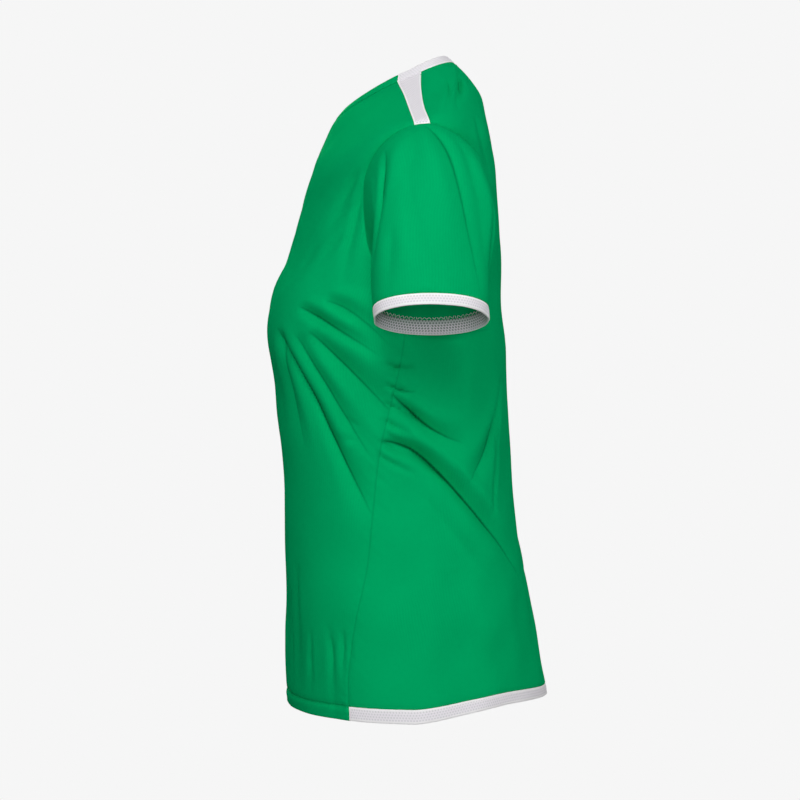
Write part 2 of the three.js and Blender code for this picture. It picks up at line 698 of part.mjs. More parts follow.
// Front and back panels. The front hem is turned up, so its lowest rows are thicker inside.
const half = even(WALL / 2);
const turnedHem = (i) => WALL / 2 + (i < 2 ? HEM_TURN : 0);
const frontPanel = drawIn(copyGrid(frontGrid), ["first", "last", "top"]);
add("front_panel", wall(frontPanel, false, half, turnedHem), greenKnit);
const backPanel = drawIn(copyGrid(backGrid.slice(1)), ["first", "last", "top", "bottom"]);
add("back_panel", wall(backPanel, false, half, half), greenKnit);
const hemBand = drawIn(copyGrid(backGrid.slice(0, 2)), ["first", "last", "top"]);
add("back_hem_band", wall(hemBand, false, half, half), whiteMesh);

for (const side of ["left", "right"]) {
  const insert = drawIn(copyGrid(inserts[side]), ["first", "last", "top", "bottom"]);
  add(`shoulder_insert_${side}`, wall(insert, false, half, half), whiteMesh);
  const sleeve = drawIn(copyGrid(sleeves[side].slice(0, -1)), ["bottom", "top"], true);
  add(`sleeve_${side}`, wall(sleeve, true, half, half), greenKnit);
  add(`cuff_${side}`, cuff(side), whiteMesh);
}

// The neckband is green at the front and white from the inserts round the back
const bandHalf = even(BAND_WALL / 2);
const frontTurn = frontEdge[frontEdge.length - 1].girth;
const backTurn = backEdge[backEdge.length - 1].girth;
const frontGirths = girthRun(-frontTurn, frontTurn, PANEL_ACROSS);
const backGirths = [
  ...girthRun(frontTurn, backTurn, INSERT_ACROSS).slice(0, -1),
  ...girthRun(backTurn, 2 * Math.PI - backTurn, PANEL_ACROSS),
  ...girthRun(2 * Math.PI - backTurn, 2 * Math.PI - frontTurn, INSERT_ACROSS).slice(1),
];
const neckFront = drawIn(neckbandGrid(frontGirths), ["first", "last", "bottom"]);
add("neckband_front", wall(neckFront, false, bandHalf, bandHalf), greenKnit);
const neckBack = drawIn(neckbandGrid(backGirths), ["first", "last", "bottom"]);
add("neckband_back", wall(neckBack, false, bandHalf, bandHalf), whiteMesh);

export default jersey;
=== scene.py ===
# %% [markdown]
# # A football jersey, filled out as worn
# The shirt hangs in the air as if somebody wore it. On the real shirt eleven cut pieces
# are sewn together: a front, a back, two sleeves, a mesh insert along each shoulder, mesh
# cuffs, a mesh band at the back hem, and a neckband in two colours.
# Every cloth piece could be sculpted, or draped by a simulation. Here each one is a grid
# of points worked out from sections, because then a fold can be put exactly where the
# cloth really creases, and the pieces share their seam lines.

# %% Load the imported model
import math

import bmesh
import bpy
import numpy as np
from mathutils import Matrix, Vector


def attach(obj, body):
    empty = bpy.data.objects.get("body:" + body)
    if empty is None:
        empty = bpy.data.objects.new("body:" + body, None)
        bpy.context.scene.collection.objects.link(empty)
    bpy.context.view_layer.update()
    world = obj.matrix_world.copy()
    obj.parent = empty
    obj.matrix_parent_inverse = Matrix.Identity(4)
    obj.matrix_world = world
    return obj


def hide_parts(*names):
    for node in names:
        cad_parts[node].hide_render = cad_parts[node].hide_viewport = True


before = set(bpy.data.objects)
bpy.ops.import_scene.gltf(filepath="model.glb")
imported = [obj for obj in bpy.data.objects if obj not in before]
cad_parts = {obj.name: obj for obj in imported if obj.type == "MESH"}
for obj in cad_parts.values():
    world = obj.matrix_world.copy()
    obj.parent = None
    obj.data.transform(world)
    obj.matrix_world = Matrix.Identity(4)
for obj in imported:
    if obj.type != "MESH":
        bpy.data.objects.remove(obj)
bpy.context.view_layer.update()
print("nodes in the frame:", sorted(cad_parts))

MM = 0.001
rng = np.random.default_rng(7)

# %% [markdown]
# ## Smooth curves from short tables
# A tailor marks a few measures and joins them with a bendy ruler. A natural cubic spline
# does the same for numbers: it passes through each value and bends as little as it can.
# The values may be single numbers or whole points.

# %% A bendy ruler
def natural_spline(knots, values):
    knots = np.asarray(knots, float)
    values = np.asarray(values, float)
    flat = values.reshape(len(knots), -1)
    width = np.diff(knots)
    slope = np.diff(flat, axis=0) / width[:, None]
    system = np.eye(len(knots))
    right = np.zeros_like(flat)
    for i in range(1, len(knots) - 1):
        system[i, i - 1 : i + 2] = width[i - 1], 2 * (width[i - 1] + width[i]), width[i]
        right[i] = 6 * (slope[i] - slope[i - 1])
    bends = np.linalg.solve(system, right)

    def curve(at):
        at = np.asarray(at, float)
        x = at.ravel()
        i = np.clip(np.searchsorted(knots, x) - 1, 0, len(knots) - 2)
        a = ((knots[i + 1] - x) / width[i])[:, None]
        b = 1 - a
        bulge = (a**3 - a) * bends[i] + (b**3 - b) * bends[i + 1]
        result = a * flat[i] + b * flat[i + 1] + bulge * width[i, None] ** 2 / 6
        return result.reshape(at.shape + values.shape[1:])

    return curve


def table(columns, rows):
    return dict(zip(columns.split(), np.array(rows, float).T))


def curves(columns, rows):
    """One smooth curve for each column after the first, over the first."""
    data = table(columns, rows)
    key, *names = columns.split()
    return {name: natural_spline(data[key], data[name]) for name in names}


def mix(a, b, share):
    return a + (b - a) * share


def bell(x, width):
    """1 in the middle, and soon 0 past the width on both sides."""
    return np.exp(-((x / width) ** 2))


# %% [markdown]
# ## The form of the body
# The frame's solids were made from a table like this one, in millimetres, so the cloth
# starts from it too. The back hem, and the upper back up to the neck, lie a few millimetres
# nearer to the photo here. A level runs up the side of the body, over the shoulder point
# and in to the neck. Each section says where it meets the side, the centre front and the
# centre back, and how square its curve is in between.

# %% Sections of the body
HEM = -609
UNDERARM = -205
SHOULDER_POINT = -55
NECK_SEAM = 69
NECK_EDGE = 81
HEM_BAND = 12
SECTION = curves(
    "level side_x side_y side_z front_y front_z back_y back_z",
    [
        (-609, 188, 1, -611, -126, -609, 131, -601.5),
        (-560, 186, 0, -560, -127, -560, 124.5, -560),
        (-500, 180.5, -2, -500, -127, -500, 112.5, -500),
        (-440, 173.5, -4, -440, -128, -440, 102, -440),
        (-390, 168.5, -5, -390, -130, -390, 96.5, -390),
        (-335, 167, -6, -335, -133.5, -335, 93, -335),
        (-285, 170, -6, -285, -138.5, -285, 91, -285),
        (-240, 173.5, -5, -240, -142, -240, 87.5, -240),
        (-205, 175, -4, -205, -138.5, -208, 85.5, -202),
        (-165, 176.5, -3, -165, -129.5, -181, 83.5, -152),
        (-120, 181, 0, -120, -119, -151, 80.5, -108),
        (-80, 187.5, 3, -80, -114, -130, 78, -76),
        (-55, 190.5, 6, -57, -111, -117, 75, -56),
        (-28, 168, 4, -44, -104.5, -95, 69.5, -30),
        (12, 131, 0, -26.5, -96.5, -73, 64, -7),
        (46, 100, -4, -11, -87, -50.5, 51, 11.5),
        (69, 80, -5, 0, -78.5, -34.5, 40, 23),
        (81, 72, -5, 7.5, -71.5, -26, 33.5, 29),
    ],
)
CURVE = curves(
    "level front_square back_square front_fall back_lift",
    [
        (-609, 2.15, 2.05, 1, 6.5),
        (-560, 2.2, 2.1, 1, 6),
        (-500, 2.35, 2.3, 1, 2),
        (-440, 2.4, 2.4, 1, 0),
        (-335, 2.5, 2.45, 1, 0),
        (-240, 2.6, 2.5, 1, 0),
        (-205, 2.45, 2.7, 1.2, 0),
        (-165, 2.25, 3, 1.4, 0),
        (-120, 2.05, 3.3, 1.5, 0),
        (-80, 1.9, 3, 1.5, 0),
        (-55, 1.85, 2.7, 1.5, 0),
        (-28, 1.9, 2.4, 1.5, 0),
        (12, 2, 2.3, 1.4, 0),
        (46, 2.05, 2.2, 1.2, 0),
        (81, 2.05, 2, 1.1, 0),
    ],
)
SIDE_SEAM = curves(
    "level y",
    [
        (-609, -61),
        (-560, -61),
        (-528, -57),
        (-496, -50),
        (-464, -44),
        (-400, -37.5),
        (-357, -32),
        (-306, -20),
        (-263, -11),
        (-205, -6),
    ],
)
INSERT_EDGE = curves(
    "level front back",
    [(-55, -1, 14), (-28, -4, 10), (12, -8.5, 7), (46, -13, 6), (69, -16.5, 6.5)],
)
ARMHOLE = curves(
    "share front back",
    [
        (0, -6, -6),
        (0.125, -23, 19),
        (0.25, -37, 40),
        (0.375, -44.5, 54.5),
        (0.5, -47.5, 61.5),
        (0.625, -47.5, 62.5),
        (0.75, -39.5, 52),
        (0.875, -23, 29),
        (1, -1, 14),
    ],
)


def smooth_body(girth, level):
    """The body before any fold: girth in radians from the centre front, level in mm."""
    sine, cosine = np.sin(girth), np.cos(girth)
    is_front = cosine > 0

    def of_side(front, back):
        return np.where(is_front, front(level), back(level))

    square = of_side(CURVE["front_square"], CURVE["back_square"])
    reach = (np.abs(cosine) ** square + np.abs(sine) ** square) ** (-1 / square)
    share = reach * np.abs(cosine)
    end_y = of_side(SECTION["front_y"], SECTION["back_y"])
    end_z = of_side(SECTION["front_z"], SECTION["back_z"])
    fall = np.where(is_front, share ** CURVE["front_fall"](level), share)
    arch = np.sin(np.pi * np.minimum(share, 1) ** 1.5)
    lift = np.where(is_front, 0, CURVE["back_lift"](level) * arch)
    x = SECTION["side_x"](level) * reach * sine
    y = mix(SECTION["side_y"](level), end_y, share)
    z = mix(SECTION["side_z"](level), end_z, fall) + lift
    return np.stack([x, y, z], -1)


def unit(vectors):
    return vectors / np.linalg.norm(vectors, axis=-1, keepdims=True)


def outward(surface, girth, level, turn=0.01, rise=1.0):
    round_it = surface(girth + turn, level) - surface(girth - turn, level)
    up = surface(girth, level + rise) - surface(girth, level - rise)
    return unit(np.cross(round_it, up))


def girth_at(y, level):
    """The girth, on the wearer's left, where the section at a level has depth y."""
    y, level = np.broadcast_arrays(np.asarray(y, float), np.asarray(level, float))
    side_y = SECTION["side_y"](level)
    is_front = y < side_y
    square = np.where(is_front, CURVE["front_square"](level), CURVE["back_square"](level))
    end_y = np.where(is_front, SECTION["front_y"](level), SECTION["back_y"](level))
    share = np.clip((y - side_y) / (end_y - side_y), 1e-6, 1)
    angle = np.arctan(((1 - share**square) / share**square) ** (1 / square))
    return np.where(is_front, angle, np.pi - angle)


print("girth of the side seam at the waist:", math.degrees(girth_at(-28, -335)), "degrees")

# %% [markdown]
# ## Folds, placed one by one
# Cloth pulled from the bust to the side, or slack behind the arm, makes long bent
# troughs. A simulation could find some, but not these ones. So each fold is a bent line
# drawn on the flat cloth, with a soft trough along it, a low ridge on each side, and a
# narrower crease at the bottom where the cloth really folds.
# The first table has the folds that the frame's solids have, some a little softer here.
# The last column, crease, and the finer folds after them belong to the cloth alone.

# %% The folds of the body
GIRTH_RADIUS = 150
FOLD_COLUMNS = "girth1 level1 girth2 level2 girth3 level3 depth width lean crease"
BODY_FOLDS = [
    # from the bust to the side, left
    (46, -224, 59, -240, 79, -272, 4.2, 7, 0.6, 1.6),
    (57, -219, 68, -224, 84, -266, 3.2, 8, 0.4, 1.0),
    (35, -244, 53, -332, 75, -424, 5.6, 9, 0.5, 2.6),
    (45, -250, 59, -312, 75, -370, 3.6, 9, 0.3, 1.2),
    (51, -248, 66, -284, 88, -336, 5, 12, 0.3, 1.4),
    (38, -246, 34, -300, 44, -360, 2.2, 9, -0.5, 1.0),
    # behind the side seam, left
    (83, -306, 97, -340, 120, -353, 4.4, 7, 0.6, 2.2),
    (79, -350, 106, -356, 155, -492, 6.6, 9, 1.0, 3.0),
    (152, -290, 141, -352, 119, -392, 3.8, 8, -0.4, 1.6),
    (84, -288, 103, -290, 124, -308, 3.8, 20, 0, 0),
    # upper back and chest, left
    (136, -40, 136, -80, 143, -118, 2.4, 9, 0, 0.6),
    (140, 40, 130, 12, 126, -26, 1.9, 9, 0, 0.5),
    (46, -150, 42, -180, 33, -208, 1.6, 12, 0, 0),
    # flutes in the lower front and at the hem, left
    (33, -468, 33, -525, 30, -600, 1.1, 7, 0.2, 0.15),
    (52, -520, 55, -560, 54, -640, 0.8, 6, 0, 0.15),
    (18, -420, 15, -520, 14, -680, 1.6, 14, 0, 0),
    (108, -470, 112, -560, 110, -700, 2, 20, 0, 0),
    (146, -500, 150, -580, 148, -700, 1.2, 16, 0, 0),
    # the same kinds on the right, each a little different
    (-49, -226, -63, -250, -82, -290, 3.2, 8, -0.5, 1.2),
    (-60, -224, -72, -234, -85, -262, 2, 9, -0.3, 0.5),
    (-36, -246, -47, -322, -70, -418, 5.1, 11, -0.3, 2.1),
    (-44, -252, -60, -290, -77, -350, 3.4, 12, 0, 0.8),
    (-53, -262, -68, -300, -90, -362, 3.8, 15, 0, 0.8),
    (-84, -312, -104, -346, -126, -362, 3.5, 9, -0.4, 1.6),
    (-80, -350, -110, -386, -158, -478, 6.5, 12, -0.7, 2.3),
    (-122, -402, -130, -362, -149, -296, 3, 11, -0.3, 0.9),
    (-86, -284, -104, -294, -120, -300, 3.2, 19, 0, 0),
    (-136, -46, -138, -84, -146, -124, 2.2, 9, 0, 0.5),
    (-44, -152, -42, -186, -36, -210, 1.5, 12, 0, 0),
    (-30, -480, -32, -540, -34, -610, 2, 9, -0.2, 0.4),
    (-56, -510, -52, -560, -52, -650, 2, 9, 0, 0.4),
    (-16, -440, -18, -540, -20, -680, 1.5, 14, 0, 0),
    (-112, -480, -108, -570, -112, -700, 2.2, 20, 0, 0),
    (-150, -510, -146, -580, -150, -700, 2.2, 16, 0, 0),
    # the middle of the front and of the back
    (3, -262, -3, -330, 4, -420, 2.2, 18, 0, 0),
    (176, -150, 184, -240, 178, -350, 2.4, 20, 0, 0),
    (180, -480, 183, -560, 179, -700, 1.9, 16, 0, 0),
]
FINE_FOLDS = [
    # pressed in beneath the left cuff, where its crease line paints the shade under the cuff, and
    # down the left of the front
    (86, -244, 108, -256, 142, -244, 3.4, 6, 0.9, 1.2),
    (17, -170, 10, -260, 17, -380, 2.4, 7, -0.5, 0.4),
    # short creases pulled out of the side seam, left
    (80, -278, 87, -286, 95, -284, 1.8, 3.4, 0.5, 0.8),
    (80, -297, 87, -306, 95, -304, 2.1, 3.6, 0.5, 1),
    (79, -314, 87, -324, 97, -327, 2.0, 3.4, 0.5, 0.8),
    (78, -329, 86, -340, 94, -347, 2.1, 3.6, 0.5, 0.8),
    (77, -350, 85, -359, 92, -368, 1.9, 3.4, 0.5, 0.8),
    (76, -362, 84, -374, 94, -382, 1.6, 3.2, 0.5, 0.6),
    (70, -338, 66, -331, 61, -330, 0.8, 3.6, 0, 0),
    (69, -352, 64, -347, 58, -350, 0.7, 3.6, 0, 0),
    # and right
    (-78, -282, -84, -288, -92, -290, 1.1, 3.2, -0.3, 0),
    (-78, -301, -85, -309, -93, -306, 1.2, 3.4, -0.3, 0),
    (-77, -320, -85, -327, -95, -332, 1.3, 3.2, -0.2, 0),
    (-76, -336, -84, -345, -92, -352, 1.2, 3.4, -0.4, 0),
    (-75, -355, -83, -362, -90, -370, 1.1, 3.2, -0.3, 0),
    (-70, -344, -66, -338, -61, -338, 0.8, 3.6, 0, 0),
    # thin creases beside the great ones, left
    (134, -424, 141, -376, 147, -316, 1.5, 4, 0, 0.6),
    (158, -488, 166, -507, 159, -550, 1.6, 4, 0, 0.6),
    (60, -318, 66, -346, 70, -386, 1.2, 7, 0, 0),
    (96, -398, 116, -446, 140, -512, 1.2, 7, 0, 0),
    (44, -300, 50, -346, 58, -396, 1.0, 6, 0.4, 0),
    (60, -240, 70, -252, 80, -276, 0.8, 5, 0, 0),
    (41, -552, 42, -566, 40, -590, 1.0, 4, 0, 0),
    (63, -537, 63, -552, 61, -572, 0.8, 4, 0, 0),
    (24, -490, 24, -540, 23, -602, 1.0, 5, 0, 0),
    # and right
    (-132, -430, -137, -396, -148, -320, 1.2, 4, 0, 0),
    (-61, -312, -66, -342, -72, -380, 1.1, 7, 0, 0),
    (-98, -404, -118, -450, -142, -508, 1.1, 7, 0, 0),
    (-42, -306, -49, -350, -56, -392, 1.0, 6, -0.4, 0),
    (-42, -546, -41, -566, -42, -596, 1.0, 4, 0, 0),
    (-24, -500, -24, -545, -26, -600, 0.9, 5, 0, 0),
    (59.5, -528, 59, -550, 58.5, -574, 1.4, 4, 0, 0.5),
    (53, -534, 54, -553, 52, -590, 1.2, 4, 0, 0.4),
    (42.5, -530, 42, -553, 41, -576, 1.2, 4, 0, 0.4),
    (-58, -532, -58, -552, -57, -576, 1.3, 4, 0, 0.5),
    # on the upper back and the shoulder blade
    (152, 54, 120, 5, 121, -34, 1.6, 6, 0, 0.6),
    (124, 36, 118, -3, 111, -36, 1.2, 6, 0, 0.3),
    (-126, 34, -118, -6, -112, -40, 1.3, 6, 0, 0.4),
    (156, -70, 153, -135, 154, -190, 1.5, 8, 0, 0.4),
    # pulled out of the armholes
    (62, -82, 55, -98, 50, -140, 1.8, 8, 0.4, 0),
    (65, -105, 62, -155, 64, -212, 1.6, 7, 0.3, 0.4),
    (-63, -88, -56, -106, -52, -146, 1.6, 8, -0.4, 0),
    (60, -150, 52, -162, 47, -186, 1.2, 6, 0, 0),
    (63, -118, 54, -122, 48, -134, 0.9, 6, 0, 0),
    (-60, -146, -52, -160, -48, -182, 1.2, 6, 0, 0),
    (118, -150, 126, -168, 134, -200, 1.3, 7, 0, 0),
    (-118, -154, -126, -172, -133, -206, 1.2, 7, 0, 0),
    (122, -196, 134, -226, 142, -262, 1.6, 9, 0, 0),
    (-122, -200, -134, -232, -143, -266, 1.5, 9, 0, 0),
]
RIDGE_HEIGHT = 0.32
RIDGE_AWAY = 1.7
WIDTH_AT_START = 0.7
WIDTH_GAIN = 0.6
DEEPEST = 0.7
CREASE_WIDTH = 0.36
REACH = 4
FOLD_STEPS = 48
CLOSER_STEPS = 2


def fold_lines(rows, across, along):
    """Folds as bent lines on the flat cloth, in mm."""
    folds = []
    for row in rows:
        fold = dict(zip(FOLD_COLUMNS.split(), row))
        fold["corners"] = np.array(
            [(fold[f"girth{i}"] * across, fold[f"level{i}"] * along) for i in (1, 2, 3)]
        )
        folds.append(fold)
    return folds


def on_line(corners, t):
    a, b, c = corners
    t = t[:, None]
    return (1 - t) ** 2 * a + 2 * t * (1 - t) * b + t**2 * c


def fold_rise(fold, places):
    """How far one fold moves each place on the flat cloth outwards."""
    corners = fold["corners"]
    tries = np.linspace(0, 1, FOLD_STEPS + 1)
    away = np.linalg.norm(places[:, None] - on_line(corners, tries)[None], axis=-1)
    along = tries[away.argmin(1)]
    for _ in range(CLOSER_STEPS):
        run = 2 * mix(corners[1] - corners[0], corners[2] - corners[1], along[:, None])
        step = ((places - on_line(corners, along)) * run).sum(1) / (run**2).sum(1)
        along = np.clip(along + step, 0, 1)
    offset = places - on_line(corners, along)
    run = unit(mix(corners[1] - corners[0], corners[2] - corners[1], along[:, None]))
    wide = fold["width"] * (WIDTH_AT_START + WIDTH_GAIN * along)
    across = (run[:, 0] * offset[:, 1] - run[:, 1] * offset[:, 0]) / wide
    beyond = np.maximum(0, (offset**2).sum(1) / wide**2 - across**2)
    upper = (1 + fold["lean"]) * bell(across - RIDGE_AWAY, 1)
    lower = (1 - fold["lean"]) * bell(across + RIDGE_AWAY, 1)
    crease = fold["crease"] * bell(across, CREASE_WIDTH)
    fade = np.maximum(0, np.sin(np.pi * along**DEEPEST)) * np.exp(-beyond)
    return fade * (fold["depth"] * (RIDGE_HEIGHT * (upper + lower) - bell(across, 1)) - crease)


def folds_rise(folds, x, y):
    """How far all the folds together move the cloth outwards at each place."""
    places = np.stack([x.ravel(), y.ravel()], -1)
    rise = np.zeros(len(places))
    for fold in folds:
        reach = REACH * fold["width"] * (WIDTH_AT_START + WIDTH_GAIN)
        low = fold["corners"].min(0) - reach
        high = fold["corners"].max(0) + reach
        near = ((places > low) & (places < high)).all(1)
        if near.any():
            rise[near] += fold_rise(fold, places[near])
    return rise.reshape(x.shape)


ALL_FOLDS = fold_lines(BODY_FOLDS + FINE_FOLDS, math.radians(1) * GIRTH_RADIUS, 1)
print(len(BODY_FOLDS), "folds of the solids and", len(FINE_FOLDS), "finer ones")

# %% [markdown]
# ## Unrest in the cloth
# Between its folds, cloth is never quite flat. A few long soft waves of random direction
# take the machined look away. Along the side seam the thread is tighter than the cloth,
# so the seam gathers into small puckers that die out within a finger's width.

# %% Soft waves and seam puckers
WAVE_COUNT = 14
WAVE_RISE = 0.22
WAVE_LENGTHS = (45, 130)
PUCKER_SPACINGS = (8.5, 11, 14, 23)
PUCKER_SLANTS = (0.2, 0.9)
PUCKER_RISE = 0.34
PUCKER_REACH = 10
PUCKER_LEVEL = -318
PUCKER_SPREAD = 62
PUCKER_LEAST = 0.3
PUCKER_TOP = UNDERARM - 14
PUCKER_FADE = 5
SEAM_HOLD = 1.5
waves = [
    (rng.uniform(0, 2 * math.pi), rng.uniform(*WAVE_LENGTHS), rng.uniform(0, 2 * math.pi))
    for _ in range(WAVE_COUNT)
]
puckers = [
    (spacing, rng.uniform(0, 2 * math.pi), rng.uniform(*PUCKER_SLANTS))
    for spacing in PUCKER_SPACINGS
]
print(len(waves), "soft waves, the longest", round(max(wave[1] for wave in waves)), "mm")


def unrest(x, y):
    """The soft waves, in mm, at places in mm on the flat cloth."""
    rise = np.zeros_like(x)
    for heading, length, start in waves:
        along = x * math.cos(heading) + y * math.sin(heading)
        rise += np.sin(2 * np.pi * along / length + start)
    return WAVE_RISE * rise


def seam_puckers(girth, level):
    """Small gathers across the side seam, strongest under the arm."""
    seam = girth_at(SIDE_SEAM["y"](level), level)
    away = (np.abs(girth) - seam) * GIRTH_RADIUS
    strength = PUCKER_LEAST + bell(level - PUCKER_LEVEL, PUCKER_SPREAD)
    below = 1 / (1 + np.exp((level - PUCKER_TOP) / PUCKER_FADE))
    hold = np.abs(away) / (np.abs(away) + SEAM_HOLD) * np.exp(-np.abs(away) / PUCKER_REACH)
    rise = np.zeros_like(level)
    for spacing, start, slant in puckers:
        rise += np.sin(2 * np.pi * (level + slant * away) / spacing + start)
    return PUCKER_RISE * strength * below * hold * rise


# %% [markdown]
# ## The worn cloth
# Everything meets in one function. It starts from the smooth body and moves each point
# outwards by the bust, the folds, the waves and the puckers. Near the neck the band holds
# the cloth flat, so the waves calm down there. Girth ends at the centre back, so folds
# that cross it are looked for on both sides.

# %% The body's cloth
BUST_GIRTH = 34
BUST_LEVEL = -236
BUST_SPREAD_GIRTH = 17
BUST_SPREAD_LEVEL = 46
BUST_RISE = 6
CALM_LEVEL = 40
CALM_FADE = 8


def body(girth, level):
    """The worn cloth of the body, in mm."""
    round_it = bell(np.abs(girth) - math.radians(BUST_GIRTH), math.radians(BUST_SPREAD_GIRTH))
    rise = BUST_RISE * round_it * bell(level - BUST_LEVEL, BUST_SPREAD_LEVEL)
    x = girth * GIRTH_RADIUS
    other_x = x - np.where(x < 0, -1, 1) * 2 * np.pi * GIRTH_RADIUS
    rise = rise + folds_rise(ALL_FOLDS, x, level) + folds_rise(ALL_FOLDS, other_x, level)
    calm = 1 / (1 + np.exp((level - CALM_LEVEL) / CALM_FADE))
    rise = rise + calm * unrest(x, level) + seam_puckers(girth, level)
    return smooth_body(girth, level) + outward(smooth_body, girth, level) * rise[..., None]


breast = body(np.array(0.0), np.array(float(BUST_LEVEL)))
print("the centre front at the bust:", breast.round(1), "mm")

# %% [markdown]
# ## From a grid of points to a piece of cloth
# A cloth piece is a grid: rows run up the shirt and columns run across it. The grid
# becomes faces, its UV map holds the distances along the cloth in metres, so that the
# knit keeps its size on every piece, and a Solidify modifier gives the cloth its
# thickness. An attribute stores how far each point is from a sewn edge, because cloth is
# drawn in and pressed along its seams.

# %% Grids
CLOTH = 0.9
GROOVE_DEPTH = 0.38
GROOVE_WIDTH = 1.6
CRISP_ANGLE = 50


def grid_outward(grid, is_ring=False):
    """The outward direction at each point of a grid."""
    up = np.gradient(grid, axis=0)
    if is_ring:
        round_it = np.roll(grid, -1, axis=1) - np.roll(grid, 1, axis=1)
    else:
        round_it = np.gradient(grid, axis=1)
    return unit(np.cross(round_it, up))


def run_lengths(grid, axis):
    """Distance along the cloth from the first row or column, in mm."""
    steps = np.linalg.norm(np.diff(grid, axis=axis), axis=-1)
    first = np.zeros_like(np.take(steps, [0], axis=axis))
    return np.concatenate([first, np.cumsum(steps, axis=axis)], axis=axis)


def edge_distance(grid, edges):
    """Distance of each point to the nearest sewn edge or row number, in mm."""
    across, along = run_lengths(grid, 1), run_lengths(grid, 0)
    distance = {
        "first": across,
        "last": across[:, -1:] - across,
        "bottom": along,
        "top": along[-1:] - along,
    }
    for row in set(edges) - set(distance):
        distance[row] = np.abs(along - along[row])
    return np.minimum.reduce([distance[edge] for edge in edges])


def sink_seams(grid, edges, is_ring=False):
    """Draws the sewn edges of a grid in, as a seam does."""
    sink = GROOVE_DEPTH * bell(edge_distance(grid, edges), GROOVE_WIDTH)
    return grid - grid_outward(grid, is_ring) * sink[..., None]


def cloth_object(
    name, grid, edges, is_ring=False, thickness=CLOTH, turned_rows=0, flat_at=None, spare=0
):
    """A mesh object from a grid in mm, with its UV map and thickness.

    Spare is added to the stored distance from a seam, where a seam shall leave no mark.
    """
    rows, columns = grid.shape[:2]
    seam = edge_distance(grid, edges) + spare
    if is_ring:
        grid = np.concatenate([grid, grid[:, :1]], axis=1)
        seam = np.concatenate([seam, seam[:, :1]], axis=1)
    across, along = run_lengths(grid, 1), run_lengths(grid, 0)
    u = across - across[:, -1:] / 2
    if turned_rows:
        along = along[turned_rows] - along
    at = np.arange(rows * columns).reshape(rows, columns)
    if is_ring:
        at = np.concatenate([at, at[:, :1]], axis=1)
    corners = [at[:-1, :-1], at[:-1, 1:], at[1:, 1:], at[1:, :-1]]
    faces = np.stack([corner.ravel() for corner in corners], -1)
    points = grid[:, :columns].reshape(-1, 3) * MM
    mesh = bpy.data.meshes.new(name)
    mesh.from_pydata(points.tolist(), [], faces.tolist())
    flat = np.stack([u, along], -1) * MM
    corner_uvs = [flat[:-1, :-1], flat[:-1, 1:], flat[1:, 1:], flat[1:, :-1]]
    uv = np.stack([corner.reshape(-1, 2) for corner in corner_uvs], 1)
    mesh.uv_layers.new(name="cloth").data.foreach_set("uv", uv.ravel().astype(np.float32))
    near = mesh.attributes.new("seam", "FLOAT", "POINT")
    near.data.foreach_set("value", (seam[:, :columns].ravel() * MM).astype(np.float32))
    if flat_at is not None:
        place = mesh.attributes.new("place", "FLOAT_VECTOR", "POINT")
        flat_at = np.concatenate([flat_at, 0 * flat_at[..., :1]], axis=-1)
        place.data.foreach_set("vector", flat_at.ravel().astype(np.float32))
    piece = bpy.data.objects.new(name, mesh)
    bpy.context.scene.collection.objects.link(piece)
    solid = piece.modifiers.new("thickness", "SOLIDIFY")
    solid.thickness = thickness * MM
    solid.offset = 0
    solid.use_even_offset = False
    return piece


def apply_modifiers(piece):
    """Turns what the modifiers make into the object's own plain mesh."""
    graph = bpy.context.evaluated_depsgraph_get()
    made = bpy.data.meshes.new_from_object(
        piece.evaluated_get(graph), preserve_all_data_layers=True, depsgraph=graph
    )
    old = piece.data
    piece.modifiers.clear()
    piece.data = made
    bpy.data.meshes.remove(old)
    made.name = piece.name
    return piece


def finish_cloth(piece):
    """Applies the thickness, and keeps shading crisp only at the cut edges."""
    apply_modifiers(piece)
    mesh = piece.data
    mesh.polygons.foreach_set("use_smooth", [True] * len(mesh.polygons))
    mesh.set_sharp_from_angle(angle=math.radians(CRISP_ANGLE))
    triangles = sum(len(face.vertices) - 2 for face in mesh.polygons)
    print(piece.name, "has", triangles, "triangles")
    return piece


# %% [markdown]
# ## The front and the back
# The side seam sweeps forward towards the hem, so the back wraps round to the front. The
# edge of each panel climbs from the hem to the underarm, round the armhole, and along
# the shoulder insert to the neck. The columns crowd towards the edges, where the small
# puckers need them, and the rows crowd beside the long folds.

# %% Edges of the panels
SIDE_CELLS = 168
ARMHOLE_CELLS = 58
INSERT_CELLS = 34
PANEL_ACROSS = 168
CROWDING = 0.24
HEM_ROW = 5
UNDERARM_ROW = HEM_ROW + SIDE_CELLS
SHOULDER_ROW = UNDERARM_ROW + ARMHOLE_CELLS
SIDE_SHARES = [0, 0.22, 0.92, 1]
SIDE_LEVELS = [HEM + HEM_BAND, -508, -240, UNDERARM]


def panel_edge(side):
    """The panel's left-hand edge as levels, centre-line levels and girths."""
    hem = np.linspace(HEM, HEM + HEM_BAND, HEM_ROW + 1)[:-1]
    sides = np.interp(np.linspace(0, 1, SIDE_CELLS + 1), SIDE_SHARES, SIDE_LEVELS)
    below = np.concatenate([hem, sides])
    share = np.arange(1, ARMHOLE_CELLS + 1) / ARMHOLE_CELLS
    arm = mix(UNDERARM, SHOULDER_POINT, (1 - np.cos(np.pi * share)) / 2)
    top = np.linspace(SHOULDER_POINT, NECK_SEAM, INSERT_CELLS + 1)[1:]
    level = np.concatenate([below, arm, top])
    middle = np.concatenate([below, mix(UNDERARM, SHOULDER_POINT, share), top])
    y = np.concatenate([SIDE_SEAM["y"](below), ARMHOLE[side](share), INSERT_EDGE[side](top)])
    return level, middle, girth_at(y, level)


def crowded_across():
    """From -1 to 1 across a panel, in steps that shorten towards both ends."""
    across = np.linspace(-1, 1, PANEL_ACROSS + 1)[None]
    return across * (1 + CROWDING * (1 - across**2))


